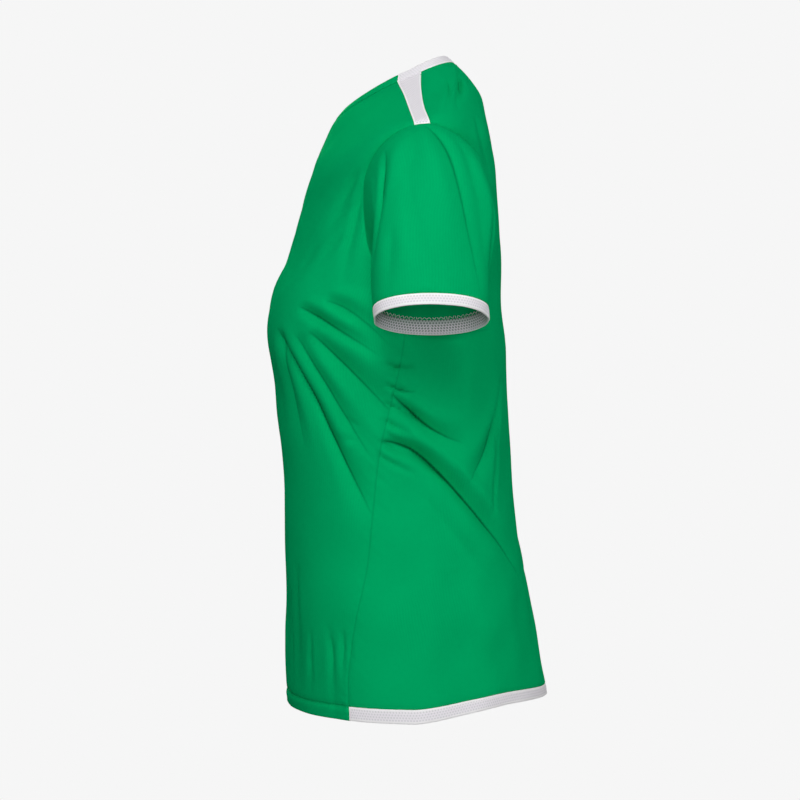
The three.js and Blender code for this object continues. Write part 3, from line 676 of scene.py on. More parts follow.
def panel_places(side):
    """Girth and level of each point. On the back, girth runs on past the middle."""
    level, middle, girth = (values[:, None] for values in panel_edge(side))
    across = crowded_across()
    centre = 0 if side == "front" else np.pi
    turn = centre + np.abs(girth - centre) * across
    return turn, mix(middle, level, across**2) + 0 * turn


def panel_grid(side):
    turn, levels = panel_places(side)
    return body(np.where(turn > np.pi, turn - 2 * np.pi, turn), levels)


def flat_places(side):
    """The same points in mm on the flat cloth, for creases that the material draws."""
    turn, levels = panel_places(side)
    return np.stack([turn * GIRTH_RADIUS, levels], -1)


front_grid = panel_grid("front")
back_grid = panel_grid("back")
print("front and back grids:", front_grid.shape, back_grid.shape)

# %% [markdown]
# A hem is the same cloth turned up inside. So the grid simply carries on: it rounds the
# edge in a few short steps and climbs back up behind its own first rows.

# %% Turning an edge in
TURN_STEPS = 5


def turn_in(grid, rows, gap, is_ring=False):
    """Puts rows before the grid: up inside behind its first rows, and round the edge."""
    out = grid_outward(grid, is_ring)
    inside = (grid - out * gap)[rows:0:-1]
    down = unit(grid[0] - grid[1])
    centre = grid[0] - out[0] * gap / 2
    turn = np.linspace(np.pi, 0, TURN_STEPS)[1:-1, None, None]
    rounds = centre + gap / 2 * (np.cos(turn) * out[0] + np.sin(turn) * down)
    return np.concatenate([inside, (grid[0] - out[0] * gap)[None], rounds, grid])


# %% [markdown]
# The front's hem is stitched through both layers. The stitching draws a groove, the fold
# rolls out below it, and the thread gathers the cloth a little, most of all beside the
# side seams. Widths here are counted in rows of the grid.

# %% The front panel
HEM_GAP = 1.1
STITCH_GROOVE = 1.3
STITCH_ROWS = 0.8
HEM_ROLL = 0.6
ROLL_ROWS = 1.3
ROLL_BELOW = 2
GATHER_RISE = 0.35
GATHER_ROWS = 2.5
GATHER_NEAR = 1.9
GATHER_REACH = 14
GATHER_FAR = 3.1
FAR_SHARE = 0.3


def hem_rise(cloth):
    """How far the sewing of the hem moves each point of the front outwards, in mm."""
    row = np.arange(len(cloth))[:, None] - HEM_ROW
    away = edge_distance(cloth, ["first", "last"])
    near = np.sin(away / GATHER_NEAR) * np.exp(-away / GATHER_REACH)
    gathers = near + FAR_SHARE * np.sin(away / GATHER_FAR)
    roll = HEM_ROLL * bell(row + ROLL_BELOW, ROLL_ROWS)
    gather = GATHER_RISE * gathers * bell(row, GATHER_ROWS)
    return roll + gather - STITCH_GROOVE * bell(row, STITCH_ROWS)


front = sink_seams(front_grid, ["first", "last", "top"])
front = front + grid_outward(front) * hem_rise(front)[..., None]
front_turned = turn_in(front, HEM_ROW, HEM_GAP)
extra_rows = len(front_turned) - len(front)
front_flat = flat_places("front")
front_piece = cloth_object(
    "front_cloth",
    front_turned,
    ["first", "last", "top", extra_rows + HEM_ROW],
    turned_rows=extra_rows,
    flat_at=np.concatenate([np.repeat(front_flat[:1], extra_rows, axis=0), front_flat]),
)
finish_cloth(front_piece)

# %% [markdown]
# The back is one piece up to the neck. It ends above the mesh band, so its rows start
# where the band stops, and all four of its edges are sewn.

# %% The back panel
back_edges = ["first", "last", "top", "bottom"]
back = sink_seams(back_grid[HEM_ROW:], back_edges)
back_piece = cloth_object("back_cloth", back, back_edges, flat_at=flat_places("back")[HEM_ROW:])
finish_cloth(back_piece)

# %% [markdown]
# ## Mesh bands and inserts
# The back hem, the cuffs and the back of the neck have a folded band of white mesh, and
# each shoulder has one layer of it let in between front and back.

# %% The back hem band
BAND_GAP = 0.8
BAND_CLOTH = 0.55
BAND_ROWS = 8
BAND_LIFT = 0.25


def back_band_grid():
    level = np.linspace(HEM, HEM + HEM_BAND, BAND_ROWS)[:, None]
    girth = girth_at(SIDE_SEAM["y"](level), level)
    across = crowded_across()
    turn = np.pi + (girth - np.pi) * np.abs(across)
    return body(np.where(across < 0, -1, 1) * turn, level + 0 * turn)[:, ::-1]


hem_band = sink_seams(back_band_grid(), ["first", "last", "top"])
hem_band = hem_band + grid_outward(hem_band) * BAND_LIFT
hem_band_turned = turn_in(hem_band, BAND_ROWS - 1, BAND_GAP)
fold_row = len(hem_band_turned) - len(hem_band)
hem_band_piece = cloth_object(
    "hem_band_cloth",
    hem_band_turned,
    ["first", "last", "top", "bottom", fold_row],
    thickness=BAND_CLOTH,
    turned_rows=fold_row,
)
finish_cloth(hem_band_piece)

# %% [markdown]
# An insert fills the gap between the front's edge and the back's. Its columns simply run
# from one to the other, so it shares their seams. It has a white border where it is sewn
# to green cloth, and none where it meets the white neckband.

# %% The shoulder inserts
INSERT_ACROSS = 16
front_edge = panel_edge("front")
back_edge = panel_edge("back")
SIGNS = {"left": 1, "right": -1}


def insert_grid(sign):
    rows = slice(SHOULDER_ROW, None)
    share = np.linspace(0, 1, INSERT_ACROSS + 1)[None]
    turn = mix(front_edge[2][rows, None], back_edge[2][rows, None], share)
    grid = body(sign * turn, front_edge[0][rows, None] + 0 * turn)
    return grid if sign > 0 else grid[:, ::-1]


sewn_to_green = ["first", "last", "bottom"]
insert_pieces = {}
for side, sign in SIGNS.items():
    grid = sink_seams(insert_grid(sign), back_edges)
    piece = cloth_object(f"insert_cloth_{side}", grid, sewn_to_green, thickness=BAND_CLOTH)
    insert_pieces[side] = finish_cloth(piece)

# %% [markdown]
# The neckband is folded over at the neck's edge, as the hem is. In front it is green, and
# behind, from one insert round to the other, it is white mesh. That part has a white
# border along the green back and at its ends, but not above the inserts.

# %% The neckband, green in front and white behind
NECK_ROWS = 8
NECK_GAP = 1.0
NECK_CLOTH = 0.7
NECK_END = 2
NO_BORDER = 9
FRONT_COLUMNS = 121
BACK_COLUMNS = 141
front_turn = front_edge[2][-1]
back_turn = back_edge[2][-1]


def neckband(name, girths):
    level = np.linspace(NECK_EDGE, NECK_SEAM, NECK_ROWS)[:, None]
    grid = body(girths[None] + 0 * level, level + 0 * girths[None])[:, ::-1]
    grid = sink_seams(grid, ["first", "last", "top"])
    grid = grid + grid_outward(grid) * NECK_GAP / 2
    turned = turn_in(grid, NECK_ROWS - 1, NECK_GAP)
    rows = len(turned) - len(grid)
    over_insert = np.abs(girths[::-1] - np.pi) > np.pi - back_turn
    past_end = edge_distance(turned, ["first", "last"]) > NECK_END
    spare = np.where(over_insert, NO_BORDER, 0) * past_end
    edges = ["first", "last", "top"]
    piece = cloth_object(name, turned, edges, thickness=NECK_CLOTH, turned_rows=rows, spare=spare)
    return finish_cloth(piece)


in_front = np.linspace(-front_turn, front_turn, FRONT_COLUMNS)
behind = np.linspace(front_turn, 2 * np.pi - front_turn, BACK_COLUMNS)
neck_front = neckband("neckband_front_cloth", in_front)
neck_back = neckband("neckband_back_cloth", behind)

# %% [markdown]
# ## The sleeves
# A sleeve is a tube from the armhole to the cuff. Each point of the armhole starts a
# smooth run down the sleeve, through the same place on every section. Because the first
# ring is taken from the edges of the panels, the armhole seam closes exactly. The rows of
# folds are like those of the body: degrees round the sleeve, and shares of its length.

# %% Sections and folds of a sleeve
SLEEVE_SECTIONS = table(
    "along out_x out_z in_x in_z front_y back_y",
    [
        (0.13, 207, -65, 187, -205, -43, 69),
        (0.36, 232, -98, 193, -213, -38, 73),
        (0.66, 254, -151, 190.5, -226, -39.5, 68),
        (1, 270, -217, 184.8, -242, -38.3, 66),
        (1.06, 272, -226.3, 183.5, -251.3, -37.5, 65.8),
    ],
)
SLEEVE_SQUARE = 2.15
SLEEVE_RADIUS = 50
SLEEVE_LENGTH = 180
SLEEVE_UNREST = 0.6
NEXT_CLOTH = 900
INSERT_TURN = 0.13
CUFF_ROW = 4
SLEEVE_CELLS = 76
SLEEVE_FOLDS = [
    (3, 0.05, -19, 0.35, -60, 0.95, 3.4, 8, -0.5, 1.2),
    (44, 0.12, 60, 0.3, 82, 0.8, 3, 7, 0.4, 1.3),
    (-20, 0.08, -38, 0.36, -76, 0.82, 3, 9, -0.4, 0.7),
    (26, 0.4, 15, 0.72, -28, 1.06, 1.9, 9, -0.3, 0.6),
    (40, 0.6, 42, 0.8, 50, 1.04, 1.2, 8, 0, 0.3),
    (8, 0, 28, 0.24, 26, 0.5, 1.4, 7, 0, 0.4),
    (128, 0.2, 140, 0.5, 150, 0.98, 1.4, 7, 0, 0.5),
    (-140, 0.2, -146, 0.5, -152, 0.98, 1.4, 7, 0, 0.5),
    (14, 0.02, 17, 0.2, 22, 0.5, 0.9, 6, 0, 0),
    (-22, 0.02, -34, 0.12, -52, 0.3, 0.9, 5, 0, 0),
    (60, 0.04, 66, 0.2, 78, 0.4, 0.9, 5, 0, 0),
    (-70, 0.3, -84, 0.6, -92, 0.9, 1.2, 7, 0, 0.3),
    (96, 0.3, 104, 0.6, 112, 0.9, 1.1, 7, 0, 0.3),
]
ARM_FOLDS = fold_lines(SLEEVE_FOLDS, math.radians(1) * SLEEVE_RADIUS, SLEEVE_LENGTH)


def armhole_ring(sign):
    """Up the front of the armhole, over the insert, and down the back."""
    column = -1 if sign > 0 else 0
    rows = slice(UNDERARM_ROW, SHOULDER_ROW + 1)
    up = front_grid[rows, column]
    down = back_grid[rows, 0 if sign > 0 else -1][::-1]
    over = insert_grid(sign)[0]
    over = over if sign > 0 else over[::-1]
    return np.concatenate([up, over[1:-1], down[:-1]])


def ring_turns():
    """How far round the sleeve each point is: 0 on the outside, plus in front."""
    front = np.linspace(np.pi, INSERT_TURN, ARMHOLE_CELLS + 1)
    over = np.linspace(INSERT_TURN, -INSERT_TURN, INSERT_ACROSS + 1)[1:]
    back = np.linspace(-INSERT_TURN, -np.pi, ARMHOLE_CELLS + 1)[1:-1]
    return np.concatenate([front, over, back])


def sleeve_section(row, turns, sign):
    """A rounded ring across the sleeve, from one row of its table."""
    value = {name: column[row] for name, column in SLEEVE_SECTIONS.items()}
    cosine, sine = np.cos(turns), np.sin(turns)
    power = SLEEVE_SQUARE
    reach = (np.abs(cosine) ** power + np.abs(sine) ** power) ** (-1 / power)
    out = (1 + reach * cosine) / 2
    middle = (value["front_y"] + value["back_y"]) / 2
    half = (value["back_y"] - value["front_y"]) / 2
    x = sign * mix(value["in_x"], value["out_x"], out)
    return np.stack([x, middle - half * reach * sine, mix(value["in_z"], value["out_z"], out)], -1)


turns = ring_turns()
SLEEVE_ALONG = np.linspace(0, 1, SLEEVE_CELLS + 1)
SLEEVE_SHARE = np.interp(SLEEVE_ALONG, [0, 0.965, 1], [0, 0.9, 1])


def upwards(rings, sign):
    """The same rings from the cuff up, wound so that their faces look outwards."""
    return rings[::-1, ::sign]


def sleeve_grid(sign):
    sections = [sleeve_section(row, turns, sign) for row in range(CUFF_ROW)]
    knots = [0, *SLEEVE_SECTIONS["along"][:CUFF_ROW]]
    run = natural_spline(knots, np.stack([armhole_ring(sign), *sections]))
    fade = np.sqrt(np.abs(np.sin(np.pi * SLEEVE_SHARE)))
    x, y = np.broadcast_arrays(turns[None] * SLEEVE_RADIUS, SLEEVE_SHARE[:, None] * SLEEVE_LENGTH)
    waves_here = SLEEVE_UNREST * unrest(x, y + NEXT_CLOTH * sign)
    rise = fade[:, None] * (folds_rise(ARM_FOLDS, x, y) + waves_here)
    grid = upwards(run(SLEEVE_ALONG), sign)
    return grid + grid_outward(grid, True) * upwards(rise, sign)[..., None]


sleeve_pieces, sleeve_grids = {}, {}
for side, sign in SIGNS.items():
    grid = sleeve_grid(sign)
    ring = grid[SLEEVE_CELLS // 2]
    outer = (grid_outward(grid, True)[SLEEVE_CELLS // 2] * (ring - ring.mean(0))).sum(-1)
    print("sleeve", side, "faces out:", outer.min() > 0)
    sleeve_grids[side] = sink_seams(grid, ["bottom", "top"], True)
    flat = np.stack(np.broadcast_arrays(turns[None] * SLEEVE_RADIUS, SLEEVE_SHARE[:, None]), -1)
    piece = cloth_object(
        f"sleeve_cloth_{side}",
        sleeve_grids[side],
        ["bottom", "top"],
        True,
        flat_at=upwards(flat * (1, SLEEVE_LENGTH), sign),
    )
    sleeve_pieces[side] = finish_cloth(piece)

# %% [markdown]
# A cuff is a band of mesh folded at its edge. Outside it ends at the seam, and inside it
# runs a little further up, where it hides the seam as a facing. Its edge isn't held by a
# seam, so it sways in and out by less than a millimetre.

# %% The cuffs
CUFF_ROWS = 8
CUFF_GAP = 1.1
CUFF_CLOTH = 0.6
CUFF_BAND = 9.5
CUFF_FACING = 13.5
FACING_ROWS = 4
FACING_INSET = 1.3
SWAYS = [(0.5, 3, 1), (0.35, 7, 0), (0.2, 13, 2)]


def cuff_grid(sign):
    """The cuff's outer side, from its edge up to the seam."""
    seam, edge = (sleeve_section(row, turns, sign) for row in (CUFF_ROW - 1, CUFF_ROW))
    share = np.linspace(0, 1, CUFF_ROWS)[:, None, None]
    return upwards(mix(seam, edge, share), sign)


def facing_grid(side, sign, sway):
    """The cuff's inner side, from its edge up past the seam."""
    inner = cuff_grid(sign)
    more = np.linspace(0, 1, FACING_ROWS + 1)[1:, None, None] * (CUFF_FACING - CUFF_BAND)
    sleeve_up = unit(sleeve_grids[side][FACING_ROWS] - sleeve_grids[side][0])
    inner = np.concatenate([inner, inner[-1] + more * sleeve_up])
    inset = np.interp(np.arange(len(inner)), [0, CUFF_ROWS - 1], [CUFF_GAP / 2, FACING_INSET])
    inset = inset[:, None] - np.concatenate([sway, 0 * sway[:FACING_ROWS]])
    return inner - grid_outward(inner, True) * inset[..., None]


cuff_pieces, facing_grids = {}, {}
for side, sign in SIGNS.items():
    sway = sum(rise * np.sin(count * turns + start) for rise, count, start in SWAYS)
    sway = np.linspace(1, 0, CUFF_ROWS)[:, None] * sway[::sign]
    grid = sink_seams(cuff_grid(sign), ["top"], True)
    grid = grid + grid_outward(grid, True) * (CUFF_GAP / 2 + sway)[..., None]
    facing_grids[side] = facing_grid(side, sign, sway)
    rounds = turn_in(grid, CUFF_ROWS - 1, CUFF_GAP, True)[CUFF_ROWS:]
    whole = np.concatenate([facing_grids[side][::-1], rounds])
    rows = len(whole) - len(grid)
    edges = ["top", rows]
    piece = cloth_object(
        f"cuff_cloth_{side}", whole, edges, True, thickness=CUFF_CLOTH, turned_rows=rows
    )
    cuff_pieces[side] = finish_cloth(piece)

# %% [markdown]
# ## Materials from nodes
# A shader is a recipe of small nodes. Two helpers keep it readable: Paint is one
# material and makes its nodes, and Wire is a value that runs between them, so that
# ordinary arithmetic can be written instead of forty Math nodes.

# %% Nodes as arithmetic
class Wire:
    """A value on its way through the nodes of one material."""

    def __init__(self, paint, socket):
        self.paint, self.socket = paint, socket

    def math(self, operation, *others):
        given = {f"_{i}": value for i, value in enumerate((self, *others))}
        return self.paint.node("ShaderNodeMath", {"operation": operation}, **given)

    def __add__(self, other):
        return self.math("ADD", other)

    def __mul__(self, other):
        return self.math("MULTIPLY", other)

    def __sub__(self, other):
        return self.math("SUBTRACT", other)

    def __truediv__(self, other):
        return self.math("DIVIDE", other)

    def __pow__(self, other):
        return self.math("POWER", other)

    def __neg__(self):
        return self * -1.0

    def __rsub__(self, other):
        return -self + other

    __radd__ = __add__
    __rmul__ = __mul__

    def wave(self):
        """From 0 to 1 and back, once for each whole step of the value."""
        return (self * (2 * math.pi)).math("SINE") * 0.5 + 0.5

    def off_middle(self):
        """From -0.5 to 0.5 over each whole step of the value."""
        return self.math("FRACT") - 0.5

    def step_down(self, edge, soft):
        """1 below the edge and 0 above it, with a soft change in between."""
        settings = {"interpolation_type": "SMOOTHSTEP"}
        ends = {"From_Min": edge - soft, "From_Max": edge + soft, "To_Min": 1.0, "To_Max": 0.0}
        return self.paint.node("ShaderNodeMapRange", settings, Value=self, **ends)


class Paint:
    """One material, and the nodes that it is made of."""

    def __init__(self, name):
        self.material = bpy.data.materials.new(name)
        self.material.use_nodes = True
        self.tree = self.material.node_tree
        self.shader = self.tree.nodes["Principled BSDF"]
        self.output = self.tree.nodes["Material Output"]

    def node(self, kind, settings=None, out=0, **given):
        """A new node. Its inputs are given by name, or by number as _0, _1 and on."""
        new = self.tree.nodes.new(kind)
        for key, value in (settings or {}).items():
            setattr(new, key, value)
        for key, value in given.items():
            by_number = key[1:].isdigit()
            self.put(value, new.inputs[int(key[1:]) if by_number else key.replace("_", " ")])
        return Wire(self, new.outputs[out])

    def put(self, value, socket):
        if isinstance(value, Wire):
            self.tree.links.new(value.socket, socket)
        else:
            socket.default_value = value

    def set(self, **inputs):
        for key, value in inputs.items():
            self.put(value, self.shader.inputs[key.replace("_", " ")])

    def cloth_lengths(self):
        """Metres across and along the cloth."""
        spot = self.node("ShaderNodeUVMap", {"uv_map": "cloth"})
        return [self.node("ShaderNodeSeparateXYZ", out=axis, Vector=spot) for axis in (0, 1)]

    def seam_distance(self):
        return self.node("ShaderNodeAttribute", {"attribute_name": "seam"}, out=2)

    def noise(self, size, detail=2.0):
        """Soft random values around 0.5, with blobs about this many metres wide."""
        spot = self.node("ShaderNodeTexCoord", out=3)
        return self.node("ShaderNodeTexNoise", Vector=spot, Scale=1 / size, Detail=detail)

    def blend(self, share, first, second):
        """A colour between two colours."""
        settings = {"data_type": "RGBA"}
        return self.node("ShaderNodeMix", settings, 2, _0=share, _6=first, _7=second)

    def bump(self, height, distance, strength=1.0):
        """Lets the light see a height that the mesh doesn't have, in metres."""
        self.set(
            Normal=self.node("ShaderNodeBump", Height=height, Distance=distance, Strength=strength)
        )


# %% [markdown]
# ## Green knit
# The body is a smooth polyester knit. Its face is made of tiny upright V stitches in
# rows and columns, and its bright filaments give it a soft green sheen, with almost no
# white in it. Near a seam the cloth is pressed and a little darker.

# %% Creases drawn by the material, as bump and painted shade
LINE_WIDTH = 1.25
# How much painted shade the crease lines take at most.
LINE_SHADE = 0.42


def crease_height(paint, folds):
    """Thin creases along the bottoms of the folds, in mm, as sharp as a pixel."""
    place = paint.node("ShaderNodeAttribute", {"attribute_name": "place"}, out=1)
    x, y = (paint.node("ShaderNodeSeparateXYZ", out=axis, Vector=place) for axis in (0, 1))
    total = 0.0
    for fold in folds:
        start, control, end = fold["corners"]
        chord = end - start
        length = float(np.linalg.norm(chord))
        ux, uy = (chord / length).tolist()
        bend = (control - start) / length
        reach, sag = float(bend[0] * ux + bend[1] * uy), float(bend[1] * ux - bend[0] * uy)
        near_x, near_y = x - float(start[0]), y - float(start[1])
        share = (near_x * ux + near_y * uy) / length
        inside = share.math("MAXIMUM", 0.0).math("MINIMUM", 1.0)
        curve = 1 - 2 * reach
        if abs(curve) < 0.02:
            along = inside
        else:
            along = ((inside * curve + reach**2).math("SQRT") - reach) / curve
        off = (near_y * ux - near_x * uy) / length - along * (1.0 - along) * (2 * sag)
        off = off * (length / LINE_WIDTH)
        beyond = (share - inside) * (length / LINE_WIDTH)
        fade = (along**DEEPEST * math.pi).math("SINE")
        line = (-(off * off) - beyond * beyond).math("EXPONENT")
        total = line * fade * float(fold["crease"]) + total
    return total


# %% [markdown]
# Knitted polyester is rows of small loops with a soft sheen, and fine ribs that show in
# some places only. The colour is darker along the seams, and painted shade darkens the
# sharp creases and the hollows between the loops.

# %% Green knit
KNIT_DARK = (0.0002, 0.31, 0.1, 1)
KNIT_LIGHT = (0.0003, 0.49, 0.16, 1)
# The deepest green serves the seams' dark joints and the painted shade in sharp creases.
KNIT_SEAM_AND_CREASE_SHADE = (0.0001, 0.09, 0.028, 1)
RIB = 0.0027
WALE = 0.00115
COURSE = 0.0009


def knit_height(paint):
    across, along = paint.cloth_lengths()
    column = across / WALE
    lean = (column.off_middle().math("ABSOLUTE")) * 1.1
    stitch = (along / COURSE + lean).wave()
    rib = (column * 2.0).off_middle().math("ABSOLUTE") * 2.0
    return stitch * 0.55 + rib * 0.45


def knit_ribs(paint):
    """Fine uneven ribs that show in some places and not in others."""
    across, along = paint.cloth_lengths()
    drift = paint.noise(0.035, 1.0) * 2.6
    ribs = (across / RIB + drift).wave() - 0.5
    mottle = 1.0 - paint.noise(0.07, 1.0).step_down(0.5, 0.09)
    return ribs, mottle


def green_knit(name, folds):
    paint = Paint(name)
    crease = crease_height(paint, folds) if folds else None
    height = knit_height(paint)
    blotch = paint.noise(0.05)
    streak = paint.noise(0.004, 1.0)
    ribs, mottle = knit_ribs(paint)
    # The knit's height lightens its loops and paints shade into the hollows between them.
    tone = (blotch - 0.5) * 0.1 + (streak - 0.5) * 0.16 + height * 0.3 + ribs * mottle * 0.14 + 0.36
    colour = paint.blend(tone, KNIT_DARK, KNIT_LIGHT)
    seam = paint.seam_distance().step_down(0.0009, 0.0006) * 0.18
    # Painted shade along the sharp creases joins the seams' darker joints here.
    if crease:
        seam = (crease * LINE_SHADE).math("MINIMUM", 0.75).math("MAXIMUM", seam)
    colour = paint.blend(seam, colour, KNIT_SEAM_AND_CREASE_SHADE)
    paint.set(
        Base_Color=colour,
        Roughness=0.6 - height * 0.08 + (blotch - 0.5) * 0.1,
        Metallic=0.14,
        Specular_IOR_Level=0.0,
        Specular_Tint=(0.0, 0.9, 0.3, 1),
        Sheen_Weight=0.1,
        Sheen_Roughness=0.45,
        Sheen_Tint=(0.0, 0.85, 0.3, 1),
    )
    surface = height * 0.1 + (streak - 0.5) * 0.08 + ribs * mottle * 0.05
    if crease:
        surface = surface - crease * 0.7
    paint.bump(surface, 0.001, 0.8)
    return paint.material


# %% [markdown]
# ## White mesh
# The mesh is knitted with holes in a honeycomb. One layer of it, in the shoulder inserts,
# can be seen through. Where it is doubled, the second layer shows pale in the holes, under a
# little painted shade. Along every seam the turned-in edge lies behind it and closes the holes,
# so it has a plain white border. Inside a cuff the holes take much darker painted shade, and
# the green sleeve shows a little through the top of the facing.

# %% White mesh
MESH_BORDER = (0.97, 0.96, 0.97, 1)
KNIT_BEHIND = (0.1, 0.33, 0.2, 1)
HOLE_PAINTED_SHADE = (0.12, 0.2, 0.16, 1)
HOLE_SPACING = 0.0028
HOLE_SIZE = 0.32
BORDER = 0.0016
ROOT_3 = math.sqrt(3)


def hole_distance(paint):
    """Distance to the middle of the nearest hole, in spacings."""
    across, along = paint.cloth_lengths()

    def of_rows(shift):
        x = (across / HOLE_SPACING + shift).off_middle()
        y = (along / (HOLE_SPACING * ROOT_3) + shift).off_middle() * ROOT_3
        return (x * x + y * y).math("SQRT")

    return of_rows(0.0).math("MINIMUM", of_rows(0.5))


def white_mesh(name, layers):
    paint = Paint(name)
    away = hole_distance(paint)
    border = paint.seam_distance().step_down(BORDER, 0.0002)
    hole = away.step_down(HOLE_SIZE, 0.07) * (1.0 - border)
    blotch = paint.noise(0.03)
    yarn = paint.noise(0.0006, 1.0)
    tone = (blotch - 0.5) * 0.5 + (yarn - 0.5) * 0.6 + 0.5
    cloth = paint.blend(tone, (0.86, 0.83, 0.88, 1), (0.96, 0.93, 0.975, 1))
    if layers == 1:
        cloth = paint.blend(border, cloth, MESH_BORDER)
        paint.set(Base_Color=cloth, Alpha=1.0 - hole * 0.2)
    else:
        inside = 1.0 - paint.cloth_lengths()[1].step_down(0.004, 0.003)
        backed = 1.0 - paint.cloth_lengths()[1].step_down(0.0115, 0.0035)
        cloth = paint.blend(backed * 0.4, cloth, KNIT_BEHIND)
        # Painted shade darkens the holes a little, and much more on the inner layer.
        cloth = paint.blend(hole * (inside * 0.6 + 0.2), cloth, HOLE_PAINTED_SHADE)
        paint.set(Base_Color=paint.blend(border, cloth, MESH_BORDER))
    paint.set(Roughness=0.72 + (yarn - 0.5) * 0.2, Specular_IOR_Level=0.3)
    paint.set(Sheen_Weight=0.1, Sheen_Roughness=0.5)
    paint.bump(away.math("MINIMUM", 0.4) * 1.6 + yarn * 0.35, 0.0003, 0.6)
    return paint.material


# %% [markdown]
# Thread is twisted and a little shinier than cloth, so it has a fine uneven twist. The
# two panels and the sleeve each take a knit of their own, because each draws its own
# sharp creases.

# %% Sewing thread, green and white
def thread(name, dark, light):
    paint = Paint(name)
    twist = paint.noise(0.0005, 1.0)
    paint.set(Base_Color=paint.blend(twist, dark, light), Roughness=0.55, Specular_IOR_Level=0.1)
    paint.bump(twist, 0.0001, 0.5)
    return paint.material


FRONT_END = math.radians(79) * GIRTH_RADIUS
ALL_ROUND = 2 * math.pi * GIRTH_RADIUS


def sharp(folds):
    return [fold for fold in folds if fold["crease"] >= 0.9]


def is_behind(fold):
    return abs(fold["corners"][0, 0]) > FRONT_END


def onwards(fold):
    """A fold of the back's right half, where girth runs on past the middle."""
    shift = ALL_ROUND if fold["corners"][0, 0] < 0 else 0
    return {**fold, "corners": fold["corners"] + (shift, 0)}


front_sharp = [fold for fold in sharp(ALL_FOLDS) if not is_behind(fold)]
back_sharp = [onwards(fold) for fold in sharp(ALL_FOLDS) if is_behind(fold)]
print("sharp creases, front and back:", len(front_sharp), len(back_sharp))
FRONT_KNIT = green_knit("green_knit_front", front_sharp)
BACK_KNIT = green_knit("green_knit_back", back_sharp)
SLEEVE_KNIT = green_knit("green_knit_sleeve", sharp(ARM_FOLDS))
PLAIN_KNIT = green_knit("green_knit_neckband", [])
OPEN_MESH = white_mesh("white_mesh_single", 1)
FOLDED_MESH = white_mesh("white_mesh_folded", 2)
GREEN_THREAD = thread("green_thread", (0.0005, 0.26, 0.085, 1), (0.0008, 0.5, 0.17, 1))
WHITE_THREAD = thread("white_thread", (0.62, 0.62, 0.62, 1), (0.85, 0.85, 0.85, 1))
folded_pieces = [hem_band_piece, neck_back, *cuff_pieces.values()]
for pieces, material in (
    ([front_piece], FRONT_KNIT),
    ([back_piece], BACK_KNIT),
    ([neck_front], PLAIN_KNIT),
    (sleeve_pieces.values(), SLEEVE_KNIT),
    (folded_pieces, FOLDED_MESH),
    (insert_pieces.values(), OPEN_MESH),
):
    for piece in pieces:
        piece.data.materials.append(material)
print("materials:", [material.name for material in bpy.data.materials])

# %% [markdown]
# ## Stitches
# Thread is what makes cloth look sewn. Each line of stitching follows a row of the cloth,
# and a node tree sets one small bead of thread for each stitch along it, lying on the
# cloth and pointing along the line. Edges inside are finished with slanting loops.

# %% The bead of thread that every stitch repeats
def thread_bead():
    mesh = bpy.data.meshes.new("thread_bead")
    shape = bmesh.new()
    bmesh.ops.create_uvsphere(shape, u_segments=6, v_segments=4, radius=0.5)
    for corner in shape.verts:
        corner.co = Vector((corner.co.z, corner.co.y * 0.24, corner.co.x * 0.2))
    bmesh.ops.recalc_face_normals(shape, faces=shape.faces)
    shape.to_mesh(mesh)
    shape.free()
    mesh.polygons.foreach_set("use_smooth", [True] * len(mesh.polygons))
    return bpy.data.objects.new("thread_bead", mesh)


bead = thread_bead()
print("one stitch has", sum(len(face.vertices) - 2 for face in bead.data.polygons), "triangles")
